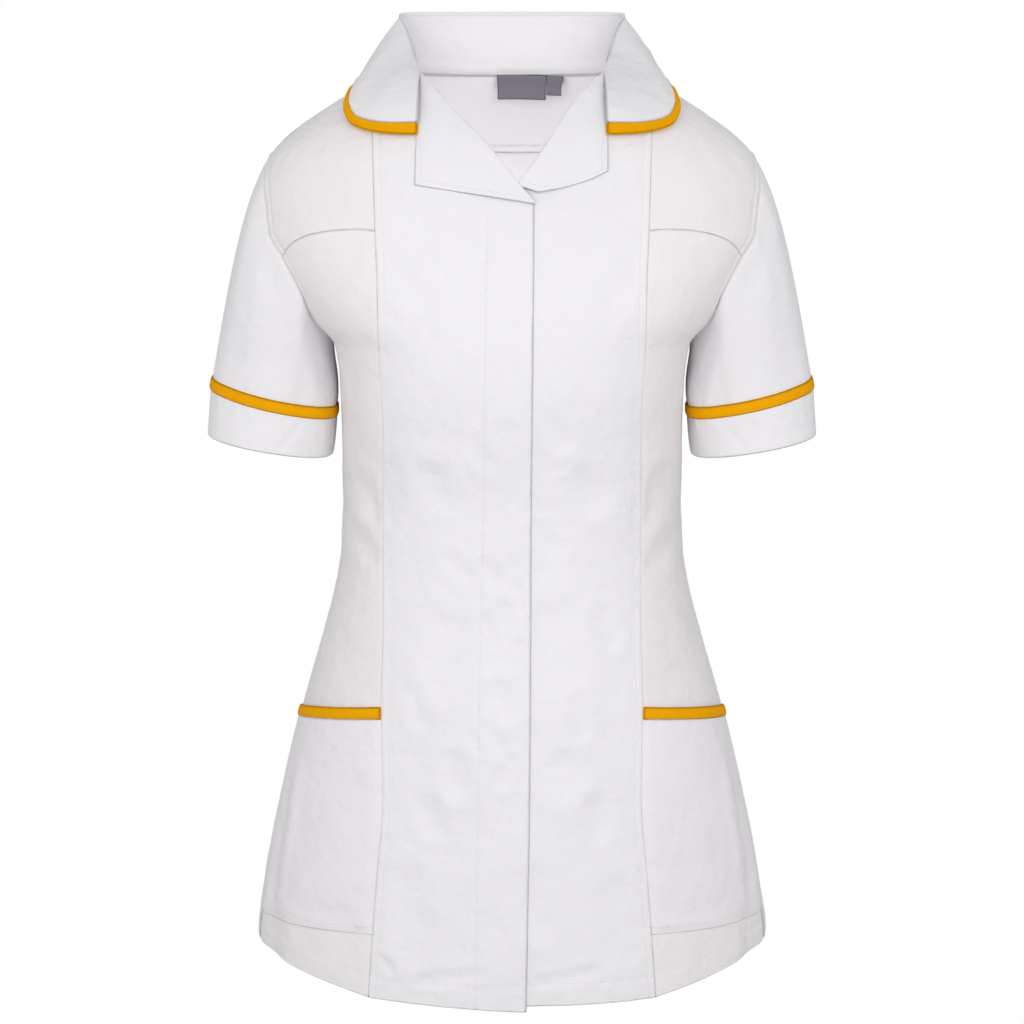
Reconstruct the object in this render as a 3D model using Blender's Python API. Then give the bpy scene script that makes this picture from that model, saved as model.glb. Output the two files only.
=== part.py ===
"""Short-sleeved medical tunic, filled out with no wearer: a hollow garment of sewn cloth panels.

Metres, +Z up. The front faces -Y and the wearer's left side is +X. The origin is the point
on the neck's centre line just above the two shoulder points beside the neck, where a wearer's
shoulders hold the garment up. Every piece is a closed wall of cloth, 0.3 mm clear of its
neighbour at a seam.
"""

import math
from collections import namedtuple

import bmesh
import bpy
from mathutils import Vector

# ---------------------------------------------------------------- driving dimensions

CLOTH = 0.0012                # thickness of one cloth wall
BINDING = 0.0022              # thickness of the folded contrast trim
LABEL_CLOTH = 0.0010          # thickness of the two woven labels and the neck facing
HALF_GAP = 0.00015            # half of the 0.3 mm kept between two pieces at a seam
LAP_GAP = 0.0007              # air between two layers that lie on each other
TRIM_WIDTH = 0.0084           # width of the amber trim

SHOULDER_TIP = -0.075         # height of the armhole's highest point, on the shoulder seam
UNDERARM = -0.222             # height of the armhole's lowest point
PRINCESS_TOP = -0.0165        # height where the princess seam meets the shoulder seam
NECK_SIDE = -0.006            # height of the shoulder points beside the neck
NECK_DIP = 0.0035             # how far the back neck seam dips below them

SIDE_SEAM_SWING = 12.0        # degrees the side seam swings to the front down the skirt
SWING_TOP = -0.40             # height where that swing starts
SWING_LENGTH = 0.30           # length of seam over which it grows
LAP_INNER = 0.020             # distance from the centre up to which the left front is fully sunk
LAP_FADE = 0.028              # width over which it comes up level again

FRONT_COLUMNS = 5
SIDE_COLUMNS = 4
BACK_COLUMNS = 18
SIDE_BACK_COLUMNS = 8
SLEEVE_RINGS = 8

# ---------------------------------------------------------------- tables

Section = namedtuple("Section", "height half_width front back front_square back_square")
SECTIONS = (
    Section(NECK_SIDE, 0.0780, 0.0420, 0.0755, 2.00, 2.00),
    Section(-0.0120, 0.0985, 0.0500, 0.0805, 2.05, 2.05),
    Section(-0.0165, 0.1120, 0.0550, 0.0830, 2.05, 2.10),
    Section(-0.0240, 0.1290, 0.0615, 0.0875, 2.10, 2.15),
    Section(-0.0385, 0.1525, 0.0730, 0.0930, 2.15, 2.20),
    Section(-0.0505, 0.1695, 0.0810, 0.0965, 2.20, 2.25),
    Section(-0.0620, 0.1832, 0.0872, 0.0995, 2.25, 2.30),
    Section(-0.0750, 0.1945, 0.0925, 0.1025, 2.30, 2.35),
    Section(-0.1030, 0.2050, 0.1005, 0.1080, 2.35, 2.40),
    Section(-0.1300, 0.2050, 0.1080, 0.1115, 2.45, 2.40),
    Section(-0.1510, 0.1955, 0.1140, 0.1130, 2.50, 2.40),
    Section(-0.1710, 0.1830, 0.1195, 0.1140, 2.55, 2.40),
    Section(-0.2020, 0.1600, 0.1270, 0.1135, 2.60, 2.35),
    Section(UNDERARM, 0.1430, 0.1292, 0.1120, 2.60, 2.30),
    Section(-0.2500, 0.1390, 0.1285, 0.1085, 2.55, 2.30),
    Section(-0.2900, 0.1378, 0.1215, 0.1020, 2.45, 2.25),
    Section(-0.3450, 0.1372, 0.1120, 0.0965, 2.35, 2.25),
    Section(-0.3860, 0.1388, 0.1110, 0.0985, 2.30, 2.20),
    Section(-0.4190, 0.1440, 0.1140, 0.1050, 2.30, 2.20),
    Section(-0.4590, 0.1544, 0.1190, 0.1150, 2.25, 2.20),
    Section(-0.5230, 0.1728, 0.1260, 0.1290, 2.20, 2.15),
    Section(-0.6050, 0.1936, 0.1325, 0.1400, 2.15, 2.10),
    Section(-0.6740, 0.2070, 0.1360, 0.1455, 2.15, 2.10),
    Section(-0.7080, 0.2112, 0.1375, 0.1470, 2.15, 2.10),
    Section(-0.7450, 0.2118, 0.1385, 0.1475, 2.15, 2.10),
)

# Lines round the body below the armholes, and how many rows of cloth lie above each.
Level = namedtuple("Level", "name right_edge left_edge princess side back rows_above")
LEVELS = (
    Level("hem", -0.7405, -0.7368, -0.7345, -0.7150, -0.7250, 3),
    Level("pocket_bottom", -0.6830, -0.6830, -0.6830, -0.6900, -0.6900, 8),
    Level("pocket_mouth", -0.5110, -0.5110, -0.5110, -0.5295, -0.5295, 1),
    Level("trim_top", -0.5024, -0.5024, -0.5024, -0.5213, -0.5213, 12),
    Level("underarm", UNDERARM, UNDERARM, UNDERARM, UNDERARM, UNDERARM, 0),
)

# Distance of the princess seam from the centre front, down the body.
PRINCESS = (
    (PRINCESS_TOP, 0.1120), (-0.0225, 0.1110), (-0.0590, 0.1084), (-0.1270, 0.1059), (-0.1640, 0.1042),
    (UNDERARM, 0.1033), (-0.2730, 0.1008), (-0.3455, 0.1018), (-0.4470, 0.1021), (-0.4970, 0.1035),
    (-0.5730, 0.1025), (-0.6380, 0.1076), (-0.6830, 0.1111), (-0.7450, 0.1155),
)

# The same seam on the back, from the shoulder seam over the shoulder blade and waist to the hem.
BACK_PRINCESS = (
    (PRINCESS_TOP, 0.1120), (-0.0225, 0.1108), (-0.0590, 0.1070), (-0.1270, 0.1010), (UNDERARM, 0.0930),
    (-0.2900, 0.0830), (-0.3450, 0.0790), (-0.4190, 0.0840), (-0.5230, 0.0960), (-0.6050, 0.1030),
    (-0.6830, 0.1080), (-0.7450, 0.1110),
)

# The armhole: degrees round the body from the centre front, on the front and on the back.
Armhole = namedtuple("Armhole", "height front_degrees back_degrees")
ARMHOLE = (
    Armhole(UNDERARM, 90.0, 90.0),
    Armhole(-0.2120, 77.0, 103.0),
    Armhole(-0.1970, 68.0, 111.0),
    Armhole(-0.1820, 62.0, 115.0),
    Armhole(-0.1665, 60.5, 117.0),
    Armhole(-0.1510, 60.8, 117.5),
    Armhole(-0.1350, 62.8, 116.5),
    Armhole(-0.1200, 64.8, 114.5),
    Armhole(-0.1060, 67.0, 111.0),
    Armhole(-0.0940, 70.5, 106.5),
    Armhole(-0.0850, 75.5, 101.5),
    Armhole(-0.0790, 82.0, 96.0),
    Armhole(SHOULDER_TIP, 90.0, 90.0),
)
BUST_SEAM_ROW = 5             # row of ARMHOLE where the bust seam meets the armhole
BUST_SEAM_RISE = 0.0085       # how far the bust seam arches above a straight line
HEM_RISE = 0.0035             # how far the side front's hem arches above a straight line

# Rows of the fronts above the bust seam: heights on the princess seam and on the neck opening.
UpperRow = namedtuple("UpperRow", "princess right_opening left_opening")
UPPER_ROWS = (
    UpperRow(-0.1270, -0.1270, -0.1270),
    UpperRow(-0.1050, -0.1066, -0.1180),
    UpperRow(-0.0830, -0.0800, -0.0850),
    UpperRow(-0.0630, -0.0580, -0.0600),
    UpperRow(-0.0460, -0.0380, -0.0385),
    UpperRow(-0.0320, -0.0215, -0.0215),
    UpperRow(-0.0225, -0.0085, -0.0085),
    UpperRow(PRINCESS_TOP, NECK_SIDE, NECK_SIDE),
)

# The roll line, where each lapel folds back: height, and distance from the centre on its own side.
RIGHT_ROLL = (
    (-0.0085, 0.0724), (-0.0405, 0.0435), (-0.0585, 0.0250), (-0.0929, -0.0046), (-0.1066, -0.0169),
)
LEFT_ROLL = (
    (-0.0085, 0.0724), (-0.0345, 0.0470), (-0.0600, 0.0300), (-0.0929, 0.0052), (-0.1180, -0.0215),
)
RIGHT_EDGE = ((-0.1066, -0.0169), (-0.3450, -0.0150), (-0.5370, -0.0141), (-0.7450, -0.0111))
LEFT_EDGE_REACH = 0.0215      # how far the covered left front runs past the centre

# Lapels, as heights and distances from the centre on their own side. break_height is where the
# roll line ends.
Lapel = namedtuple("Lapel", "gorge notch corner foot break_height")
RIGHT_LAPEL = Lapel((-0.0095, 0.0716), (-0.0535, 0.0735), (-0.0925, 0.0746), (-0.1066, -0.0160), -0.1066)
LEFT_LAPEL = Lapel((-0.0095, 0.0716), (-0.0535, 0.0735), (-0.0820, 0.0735), (-0.0985, 0.0190), -0.0929)
LAPEL_ROWS = 6
LAPEL_COLUMNS = 5
LAPEL_CLEAR = 0.0008          # how far a lapel's inner edge stays off the roll line
LAPEL_STANDOFF = 0.0012       # air under a lapel at its outer edge
LAPEL_ROLL = 0.0012           # more air where it rolls

# The collar's fold line from the roll line's top round to the centre back, on one side.
FOLD_LINE = (
    (0.0726, -0.0290, -0.0070),
    (0.0765, -0.0100, 0.0020),
    (0.0800, 0.0100, 0.0120),
    (0.0850, 0.0280, 0.0258),
    (0.0900, 0.0440, 0.0360),
    (0.0820, 0.0600, 0.0388),
    (0.0600, 0.0720, 0.0393),
    (0.0300, 0.0790, 0.0393),
    (0.0000, 0.0810, 0.0393),
)
# The collar's outer edge where it lies on the body: degrees from the centre front, and height.
COLLAR_EDGE = (
    (24.0, -0.0556), (34.0, -0.0550), (43.5, -0.0508), (50.5, -0.0442), (59.0, -0.0360), (72.0, -0.0260),
    (90.0, -0.0218), (112.0, -0.0240), (135.0, -0.0275), (158.0, -0.0295), (180.0, -0.0300),
)
COLLAR_STANDOFF = 0.0016      # air between the collar's edge and the shoulder
COLLAR_BULGE = ((0.0, 0.0100), (0.20, 0.0060), (0.40, 0.0025), (0.70, 0.0020), (1.0, 0.0030))
BULGE_FORWARD = 0.25          # share of the collar, from its end, that bulges straight forwards
BULGE_RISE = 0.9              # how much of the bulge goes upwards
COLLAR_COLUMNS = 14           # columns of the collar on each side of the centre back
COLLAR_ROWS = 5
COLLAR_END_CLEAR = 0.0008     # how far the collar stays off the lapel at the gorge
STAND_COLUMNS = 10
STAND_ROWS = 4
STAND_STEPS = 24              # steps of the seam and fold lines that the stand is cut from
STAND_SKIP = 3                # steps at their ends that it leaves free
STAND_LEAN = 0.0035           # how far the stand's top keeps inside the fold line
STAND_DROP = 0.0012           # how far it keeps under it
STAND_CLEAR = 0.0004          # how far the stand's foot keeps above the neck seam

FACING_DEPTH = 0.0640         # depth of the back neck facing at the centre
FACING_SHOULDER = 0.0160      # drop of its lower edge where it meets the shoulder seam
FACING_SPREAD = 50.0          # degrees over which its lower edge comes down to full depth
FACING_AIR = 0.0021           # air between the back and its facing
FACING_ROWS = 6
FACING_TOP_CLEAR = 0.0006     # how far the facing keeps under the neck seam
FACING_END_CLEAR = 0.0010     # how far it keeps off the shoulder seams
LABEL_DROP = 0.0010           # how far the labels' tops keep under the neck seam
LABEL_AIR = 0.0010            # air between the facing and the labels at the seam

# Labels, held under the back neck seam: left side, right side and length.
Label = namedtuple("Label", "name left right length")
LABELS = (
    Label("neck_label", -0.0123, 0.0288, 0.0195),
    Label("size_label", 0.0297, 0.0420, 0.0155),
)

# Sleeve: rings of its lower end, as seen from the front: outer and inner reach and heights.
SleeveRing = namedtuple("SleeveRing", "name outer inner outer_height inner_height half_depth dip")
SLEEVE_RINGS_BELOW = (
    SleeveRing("trim_top", 0.2410, 0.1412, -0.2500, -0.2725, 0.0505, 0.0030),
    SleeveRing("trim_bottom", 0.2426, 0.1415, -0.2584, -0.2809, 0.0510, 0.0030),
    SleeveRing("hem", 0.2462, 0.1455, -0.2955, -0.3130, 0.0515, 0.0015),
)
SLEEVE_FORWARD = 0.004        # how far the sleeve's lower end hangs in front of the side
SLEEVE_START_GAP = 0.0005     # clearance of the sleeve's first ring from the armhole
SLEEVE_HEAD_REACH = 0.30      # share of a sleeve line that follows its direction at the armhole
UNDERARM_LEAN = 0.22          # how far that direction leans out at the underarm
TIP_LEAN = 0.75               # the same at the shoulder tip
SLEEVE_FLARE = 0.18           # how far the sleeve leans out as it meets the trim
SLEEVE_LEAN_FORWARD = 0.02         # how far it leans forwards there
SLEEVE_HEM_REACH = 0.36       # share of a sleeve line that follows its direction at the trim
TRIM_STANDS = 0.0007          # how far the collar's trim stands proud of the cloth beside it
SLEEVE_TRIM_STANDS = 0.0015   # the same for a sleeve's trim

POCKET_AIR = 0.0004           # air between a pocket and its panel
POCKET_EDGE = 0.0008          # how far a pocket keeps inside the princess and side seams
POCKET_GAPE = 0.0022          # how far the pocket mouth stands open
VENT_TOP = -0.640             # height where the side vents start
VENT_OPENING = 0.0040         # width of a side vent at the hem

# Soft folds of the skirt and back: degrees, top, bottom, half width in degrees and depth.
Fold = namedtuple("Fold", "degrees top bottom spread depth")
FOLDS = (
    Fold(66.0, -0.560, -0.745, 9.0, -0.0028),
    Fold(122.0, -0.470, -0.745, 13.0, 0.0040),
    Fold(146.0, -0.500, -0.745, 12.0, -0.0040),
    Fold(170.0, -0.440, -0.745, 13.0, 0.0030),
)

Finish = namedtuple("Finish", "name colour roughness")
WHITE = Finish("white_cloth", (0.86, 0.85, 0.86, 1.0), 0.85)
AMBER = Finish("amber_trim", (0.80, 0.38, 0.01, 1.0), 0.75)
GREY = Finish("grey_label", (0.30, 0.30, 0.31, 1.0), 0.70)

# ---------------------------------------------------------------- curves through the tables


def smooth_curve(knots):
    """A smooth curve without overshoot through (place, value) knots: monotone cubic pieces."""
    knots = sorted(knots)
    places = [knot[0] for knot in knots]
    values = [knot[1] for knot in knots]
    spans = [b - a for a, b in zip(places, places[1:])]
    slopes = [(b - a) / span for a, b, span in zip(values, values[1:], spans)]
    tangents = [slopes[0]]
    for before, after in zip(slopes, slopes[1:]):
        same_way = before * after > 0.0
        tangents.append(2.0 * before * after / (before + after) if same_way else 0.0)
    tangents.append(slopes[-1])

    def value_at(place):
        place = min(max(place, places[0]), places[-1])
        index = 0
        while index < len(spans) - 1 and place > places[index + 1]:
            index += 1
        span = spans[index]
        t = (place - places[index]) / span
        start = values[index] * (1.0 + 2.0 * t) * (1.0 - t) ** 2
        start += values[index + 1] * t * t * (3.0 - 2.0 * t)
        bend = tangents[index] * t * (1.0 - t) ** 2 - tangents[index + 1] * t * t * (1.0 - t)
        return start + span * bend

    return value_at


HALF_WIDTH = smooth_curve([(row.height, row.half_width) for row in SECTIONS])
FRONT_DEPTH = smooth_curve([(row.height, row.front) for row in SECTIONS])
BACK_DEPTH = smooth_curve([(row.height, row.back) for row in SECTIONS])
FRONT_SQUARE = smooth_curve([(row.height, row.front_square) for row in SECTIONS])
BACK_SQUARE = smooth_curve([(row.height, row.back_square) for row in SECTIONS])
PRINCESS_AT = smooth_curve(PRINCESS)
BACK_PRINCESS_AT = smooth_curve(BACK_PRINCESS)
RIGHT_ROLL_AT = smooth_curve(RIGHT_ROLL)
LEFT_ROLL_AT = smooth_curve(LEFT_ROLL)
RIGHT_EDGE_AT = smooth_curve(RIGHT_EDGE)
COLLAR_BULGE_AT = smooth_curve(COLLAR_BULGE)


def blend(a, b, t):
    """Value a fraction t of the way from a to b."""
    return a + (b - a) * t


def ease(t):
    """Smooth step from 0 to 1."""
    t = min(max(t, 0.0), 1.0)
    return t * t * (3.0 - 2.0 * t)


def path_points(points, count):
    """count + 1 points at equal distances along a smooth line through the points."""
    fine = []
    steps = 12
    for index in range(len(points) - 1):
        before = points[max(index - 1, 0)]
        start = points[index]
        end = points[index + 1]
        after = points[min(index + 2, len(points) - 1)]
        for step in range(steps):
            t = step / steps
            square, cube = t * t, t * t * t
            fine.append(0.5 * (
                2.0 * start
                + (end - before) * t
                + (2.0 * before - 5.0 * start + 4.0 * end - after) * square
                + (3.0 * start - before - 3.0 * end + after) * cube
            ))
    fine.append(points[-1])
    lengths = [0.0]
    for a, b in zip(fine, fine[1:]):
        lengths.append(lengths[-1] + (b - a).length)
    result = []
    index = 0
    for number in range(count + 1):
        wanted = lengths[-1] * number / count
        while index < len(fine) - 2 and lengths[index + 1] < wanted:
            index += 1
        span = lengths[index + 1] - lengths[index]
        result.append(fine[index].lerp(fine[index + 1], (wanted - lengths[index]) / span))
    return result


# ---------------------------------------------------------------- the body's form


def fold_lift(angle, height):
    """How far the soft folds move the cloth out of its smooth form."""
    degrees = math.degrees(abs(angle))
    lift = 0.0
    for fold in FOLDS:
        across = abs(degrees - fold.degrees) / fold.spread
        if across < 1.0:
            down = ease((fold.top - height) / (fold.top - fold.bottom))
            lift += fold.depth * down * (0.5 + 0.5 * math.cos(math.pi * across))
    return lift


def smooth_body(angle, height):
    """Point of the body's form at an angle from the centre front, positive to the wearer's left."""
    on_front = abs(angle) <= math.pi / 2.0
    depth = FRONT_DEPTH(height) if on_front else BACK_DEPTH(height)
    square = FRONT_SQUARE(height) if on_front else BACK_SQUARE(height)
    sine, cosine = math.sin(angle), math.cos(angle)
    reach = (abs(sine) ** square + abs(cosine) ** square) ** (-1.0 / square)
    return Vector((HALF_WIDTH(height) * sine * reach, -depth * cosine * reach, height))


def body_normal(angle, height):
    """Direction out of the body's form."""
    step = 0.004
    top = SECTIONS[0].height
    bottom = SECTIONS[-1].height
    around = smooth_body(angle + step, height) - smooth_body(angle - step, height)
    upper = smooth_body(angle, min(height + step, top))
    lower = smooth_body(angle, max(height - step, bottom))
    return around.cross(upper - lower).normalized()


def body_point(angle, height, lift=0.0):
    """Point of the cloth's outer face, moved out by lift, and the direction out of it."""
    normal = body_normal(angle, height)
    return smooth_body(angle, height) + normal * (lift + fold_lift(angle, height)), normal


def turn_at(distance, height, square):
    """Angle between the middle of the front or back and the form's point at a distance from it."""
    share = min(abs(distance) / HALF_WIDTH(height), 0.999999) ** square
    return math.atan((share / (1.0 - share)) ** (1.0 / square))


def front_angle(distance, height):
    """Angle on the front at a distance from the centre."""
    return math.copysign(turn_at(distance, height, FRONT_SQUARE(height)), distance)


def back_angle(distance, height):
    """Angle on the back at a distance from the centre."""
    return math.copysign(math.pi - turn_at(distance, height, BACK_SQUARE(height)), distance)


def princess_angle(height):
    """Angle of the princess seam."""
    if height >= PRINCESS_TOP:
        return math.pi / 2.0
    return front_angle(PRINCESS_AT(height), height)


def side_angle(height):
    """Angle of the side seam, which swings a little to the front in the skirt."""
    return math.radians(90.0 - SIDE_SEAM_SWING * ease((SWING_TOP - height) / SWING_LENGTH))


# ---------------------------------------------------------------- cloth walls

Spot = namedtuple("Spot", "point normal")


def spots_from(rows, side):
    """Turn rows of (angle, height) into points of the cloth on one side of the body."""
    return [[Spot(*body_point(side * angle, height)) for angle, height in row] for row in rows]


def moved_out(grid, lifts):
    """A grid moved out along its own directions by a table of amounts."""
    return [[Spot(spot.point + spot.normal * lift, spot.normal) for spot, lift in zip(row, row_lifts)]
            for row, row_lifts in zip(grid, lifts)]


def pull_edge(spots, neighbours, amounts):
    """Move the spots of an edge along the cloth towards their neighbours."""
    result = []
    last = len(spots) - 1
    for index, (spot, neighbour) in enumerate(zip(spots, neighbours)):
        along = spots[min(index + 1, last)].point - spots[max(index - 1, 0)].point
        inward = spot.normal.cross(along)
        if inward.length < 1e-9:
            inward = neighbour.point - spot.point
        if inward.dot(neighbour.point - spot.point) < 0.0:
            inward = -inward
        result.append(Spot(spot.point + inward.normalized() * amounts[index], spot.normal))
    return result


def open_seams(grid, bottom=HALF_GAP, top=HALF_GAP, first=HALF_GAP, last=HALF_GAP):
    """Draw the four edges of a panel in, so that it stays clear of its neighbours at the seams.

    first and last may be a list with one amount for each row.
    """
    rows = len(grid)
    columns = len(grid[0])
    first = first if isinstance(first, list) else [first] * rows
    last = last if isinstance(last, list) else [last] * rows
    lowest = pull_edge(grid[0], grid[1], [bottom] * columns)
    highest = pull_edge(grid[-1], grid[-2], [top] * columns)
    start = pull_edge([row[0] for row in grid], [row[1] for row in grid], first)
    end = pull_edge([row[-1] for row in grid], [row[-2] for row in grid], last)
    moved = [list(row) for row in grid]
    for row in range(rows):
        for column in range(columns):
            shift = Vector((0.0, 0.0, 0.0))
            home = grid[row][column].point
            if row == 0:
                shift += lowest[column].point - home
            if row == rows - 1:
                shift += highest[column].point - home
            if column == 0:
                shift += start[row].point - home
            if column == columns - 1:
                shift += end[row].point - home
            moved[row][column] = Spot(home + shift, grid[row][column].normal)
    return moved


def finish_material(finish):
    """The cloth's plain material."""
    material = bpy.data.materials.get(finish.name)
    if material is None:
        material = bpy.data.materials.new(finish.name)
        material.use_nodes = True
        shader = material.node_tree.nodes["Principled BSDF"]
        shader.inputs["Base Color"].default_value = finish.colour
        shader.inputs["Roughness"].default_value = finish.roughness
        shader.inputs["Metallic"].default_value = 0.0
    return material


def cloth_wall(name, grid, finish, thickness=CLOTH, ring=False):
    """Build one closed wall of cloth: the grid is its outer face, and the wall lies behind it."""
    mesh = bpy.data.meshes.new(name)
    work = bmesh.new()
    outer = [[work.verts.new(spot.point) for spot in row] for row in grid]
    inner = [[work.verts.new(spot.point - spot.normal * thickness) for spot in row] for row in grid]
    rows = len(grid)
    columns = len(grid[0])
    spans = columns if ring else columns - 1
    for row in range(rows - 1):
        for column in range(spans):
            beside = (column + 1) % columns
            work.faces.new((outer[row][column], outer[row][beside],
                            outer[row + 1][beside], outer[row + 1][column]))
            work.faces.new((inner[row][column], inner[row + 1][column],
                            inner[row + 1][beside], inner[row][beside]))
    for row in (0, rows - 1):
        for column in range(spans):
            beside = (column + 1) % columns
            work.faces.new((outer[row][column], inner[row][column],
                            inner[row][beside], outer[row][beside]))
    if not ring:
        for column in (0, columns - 1):
            for row in range(rows - 1):
                work.faces.new((outer[row][column], outer[row + 1][column],
                                inner[row + 1][column], inner[row][column]))
    bmesh.ops.recalc_face_normals(work, faces=work.faces)
    work.to_mesh(mesh)
    work.free()
    mesh.shade_smooth()
    mesh.set_sharp_from_angle(angle=math.radians(50.0))
    mesh.materials.append(finish_material(finish))
    piece = bpy.data.objects.new(name, mesh)
    bpy.context.scene.collection.objects.link(piece)
    return piece


# ---------------------------------------------------------------- rows of the body

LowerRow = namedtuple("LowerRow", "right_edge left_edge princess side back")


def lower_rows():
    """Heights of every row from the hem to the underarm, at each seam."""
    rows = []
    for level, above in zip(LEVELS, LEVELS[1:]):
        for step in range(level.rows_above):
            t = step / level.rows_above
            rows.append(LowerRow(*[blend(a, b, t) for a, b in zip(level[1:6], above[1:6])]))
    rows.append(LowerRow(*LEVELS[-1][1:6]))
    return rows


def level_row(name):
    """Number of the row that lies on a named level."""
    count = 0
    for level in LEVELS:
        if level.name == name:
            return count
        count += level.rows_above
    raise ValueError(name)


def spread_row(start, end, columns, arch=0.0):
    """A row of (angle, height) from start to end, arched upwards in the middle."""
    row = []
    for column in range(columns + 1):
        t = column / columns
        rise = arch * math.sin(math.pi * t) ** 0.8 if 0.0 < t < 1.0 else 0.0
        row.append((blend(start[0], end[0], t), blend(start[1], end[1], t) + rise))
    return row


def armhole_spot(number, on_front):
    """Angle and height of a row's end on the armhole."""
    row = ARMHOLE[number]
    degrees = row.front_degrees if on_front else row.back_degrees
    return math.radians(degrees), row.height


# ---------------------------------------------------------------- fronts

SIDES = (("right", -1.0), ("left", 1.0))


def lap_sink(distance):
    """How far the left front is sunk under the right one, at a distance left of the centre."""
    return (CLOTH + LAP_GAP) * (1.0 - ease((distance - LAP_INNER) / LAP_FADE))


def centre_front_rows(side):
    """Rows of a centre front, from its opening edge to the princess seam, hem to shoulder."""
    rows = []
    for level in lower_rows():
        height = level.right_edge if side < 0.0 else level.left_edge
        reach = RIGHT_EDGE_AT(height) if side < 0.0 else -LEFT_EDGE_REACH
        start = (front_angle(reach, height), height)
        rows.append(spread_row(start, (princess_angle(level.princess), level.princess), FRONT_COLUMNS))
    steps = BUST_SEAM_ROW
    for step in range(1, steps):
        height = blend(UNDERARM, UPPER_ROWS[0].princess, step / steps)
        reach = RIGHT_EDGE_AT(height) if side < 0.0 else -LEFT_EDGE_REACH
        start = (front_angle(reach, height), height)
        rows.append(spread_row(start, (princess_angle(height), height), FRONT_COLUMNS))
    for number, upper in enumerate(UPPER_ROWS):
        height = upper.right_opening if side < 0.0 else upper.left_opening
        roll = RIGHT_ROLL_AT(height) if side < 0.0 else LEFT_ROLL_AT(height)
        if number == 0:
            roll = RIGHT_EDGE_AT(height) if side < 0.0 else -LEFT_EDGE_REACH
        start = (front_angle(roll, height), height)
        if number == len(UPPER_ROWS) - 1:
            start = (math.pi / 2.0, NECK_SIDE)
        rows.append(spread_row(start, (princess_angle(upper.princess), upper.princess), FRONT_COLUMNS))
    return rows


def centre_front(name, side):
    """Front panel from the opening to the princess seam."""
    grid = spots_from(centre_front_rows(side), side)
    if side > 0.0:
        grid = moved_out(grid, [[-lap_sink(spot.point.x) for spot in row] for row in grid])
    return cloth_wall(name, open_seams(grid), WHITE)


def side_front_lower_rows():
    """Rows of the side front from the hem to the bust seam, princess seam to side seam or armhole."""
    rows = []
    for number, level in enumerate(lower_rows()):
        end = (side_angle(level.side), level.side)
        start = (princess_angle(level.princess), level.princess)
        arch = HEM_RISE * ease(1.0 - number / LEVELS[0].rows_above)
        rows.append(spread_row(start, end, SIDE_COLUMNS, arch))
    for step in range(1, BUST_SEAM_ROW + 1):
        share = step / BUST_SEAM_ROW
        height = blend(UNDERARM, UPPER_ROWS[0].princess, share)
        arch = BUST_SEAM_RISE * ease(share)
        end = armhole_spot(step, True)
        rows.append(spread_row((princess_angle(height), height), end, SIDE_COLUMNS, arch))
    return rows


def side_front_upper_rows():
    """Rows of the side front from the bust seam to the shoulder seam."""
    rows = []
    last = len(UPPER_ROWS) - 1
    for number, upper in enumerate(UPPER_ROWS):
        end = armhole_spot(BUST_SEAM_ROW + number, True)
        arch = BUST_SEAM_RISE * ease(1.0 - number / 3.0)
        row = spread_row((princess_angle(upper.princess), upper.princess), end, SIDE_COLUMNS, arch)
        if number == last:
            row = [(math.pi / 2.0, height) for _angle, height in row]
        rows.append(row)
    return rows


def vent_gaps(heights):
    """Gap of each row at the side seam, which opens into a vent near the hem."""
    gaps = []
    for height in heights:
        opened = ease((VENT_TOP - height) / (VENT_TOP - LEVELS[0].side))
        gaps.append(HALF_GAP + 0.5 * VENT_OPENING * opened)
    return gaps


def side_fronts(side_name, side):
    """Lower and upper side front of one side."""
    rows = side_front_lower_rows()
    grid = spots_from(rows, side)
    gaps = vent_gaps([row[-1][1] for row in rows])
    cloth_wall("side_front_lower_" + side_name, open_seams(grid, last=gaps), WHITE)
    upper = spots_from(side_front_upper_rows(), side)
    cloth_wall("side_front_upper_" + side_name, open_seams(upper), WHITE)


# ---------------------------------------------------------------- back


def neck_seam_height(angle):
    """Height of the back neck seam."""
    return NECK_SIDE - NECK_DIP * math.cos(angle) ** 2


def back_height(turn, side, side_height, centre_height):
    """Height of a row at a turn round the back: it dips in a smooth arc from side seam to side seam."""
    share = (turn - side) / (2.0 * math.pi - 2.0 * side)
    return blend(side_height, centre_height, math.sin(math.pi * share) ** 2)


def back_princess_turn(height):
    """Turn of the right back princess seam, counted from the centre front over the right side."""
    if height >= PRINCESS_TOP:
        return math.pi / 2.0
    return back_angle(BACK_PRINCESS_AT(height), height)


def lower_back_rows(columns, centre):
    """Rows from the hem to the underarm, across the centre back or the right side back."""
    rows = []
    for level in lower_rows():
        side = side_angle(level.side)
        height = blend(level.side, level.back, 0.75)
        for _step in range(4):
            height = back_height(back_princess_turn(height), side, level.side, level.back)
        seam = back_princess_turn(height)
        end = 2.0 * math.pi - seam if centre else side
        row = []
        for column in range(columns + 1):
            turn = blend(seam, end, column / columns)
            row.append((turn, back_height(turn, side, level.side, level.back)))
        rows.append(row)
    return rows


def upper_princess_height(number):
    """Height on the back princess seam of the row that ends on a row of the armhole."""
    share = (ARMHOLE[number].height - UNDERARM) / (SHOULDER_TIP - UNDERARM)
    return blend(UNDERARM, PRINCESS_TOP, share)


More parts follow.
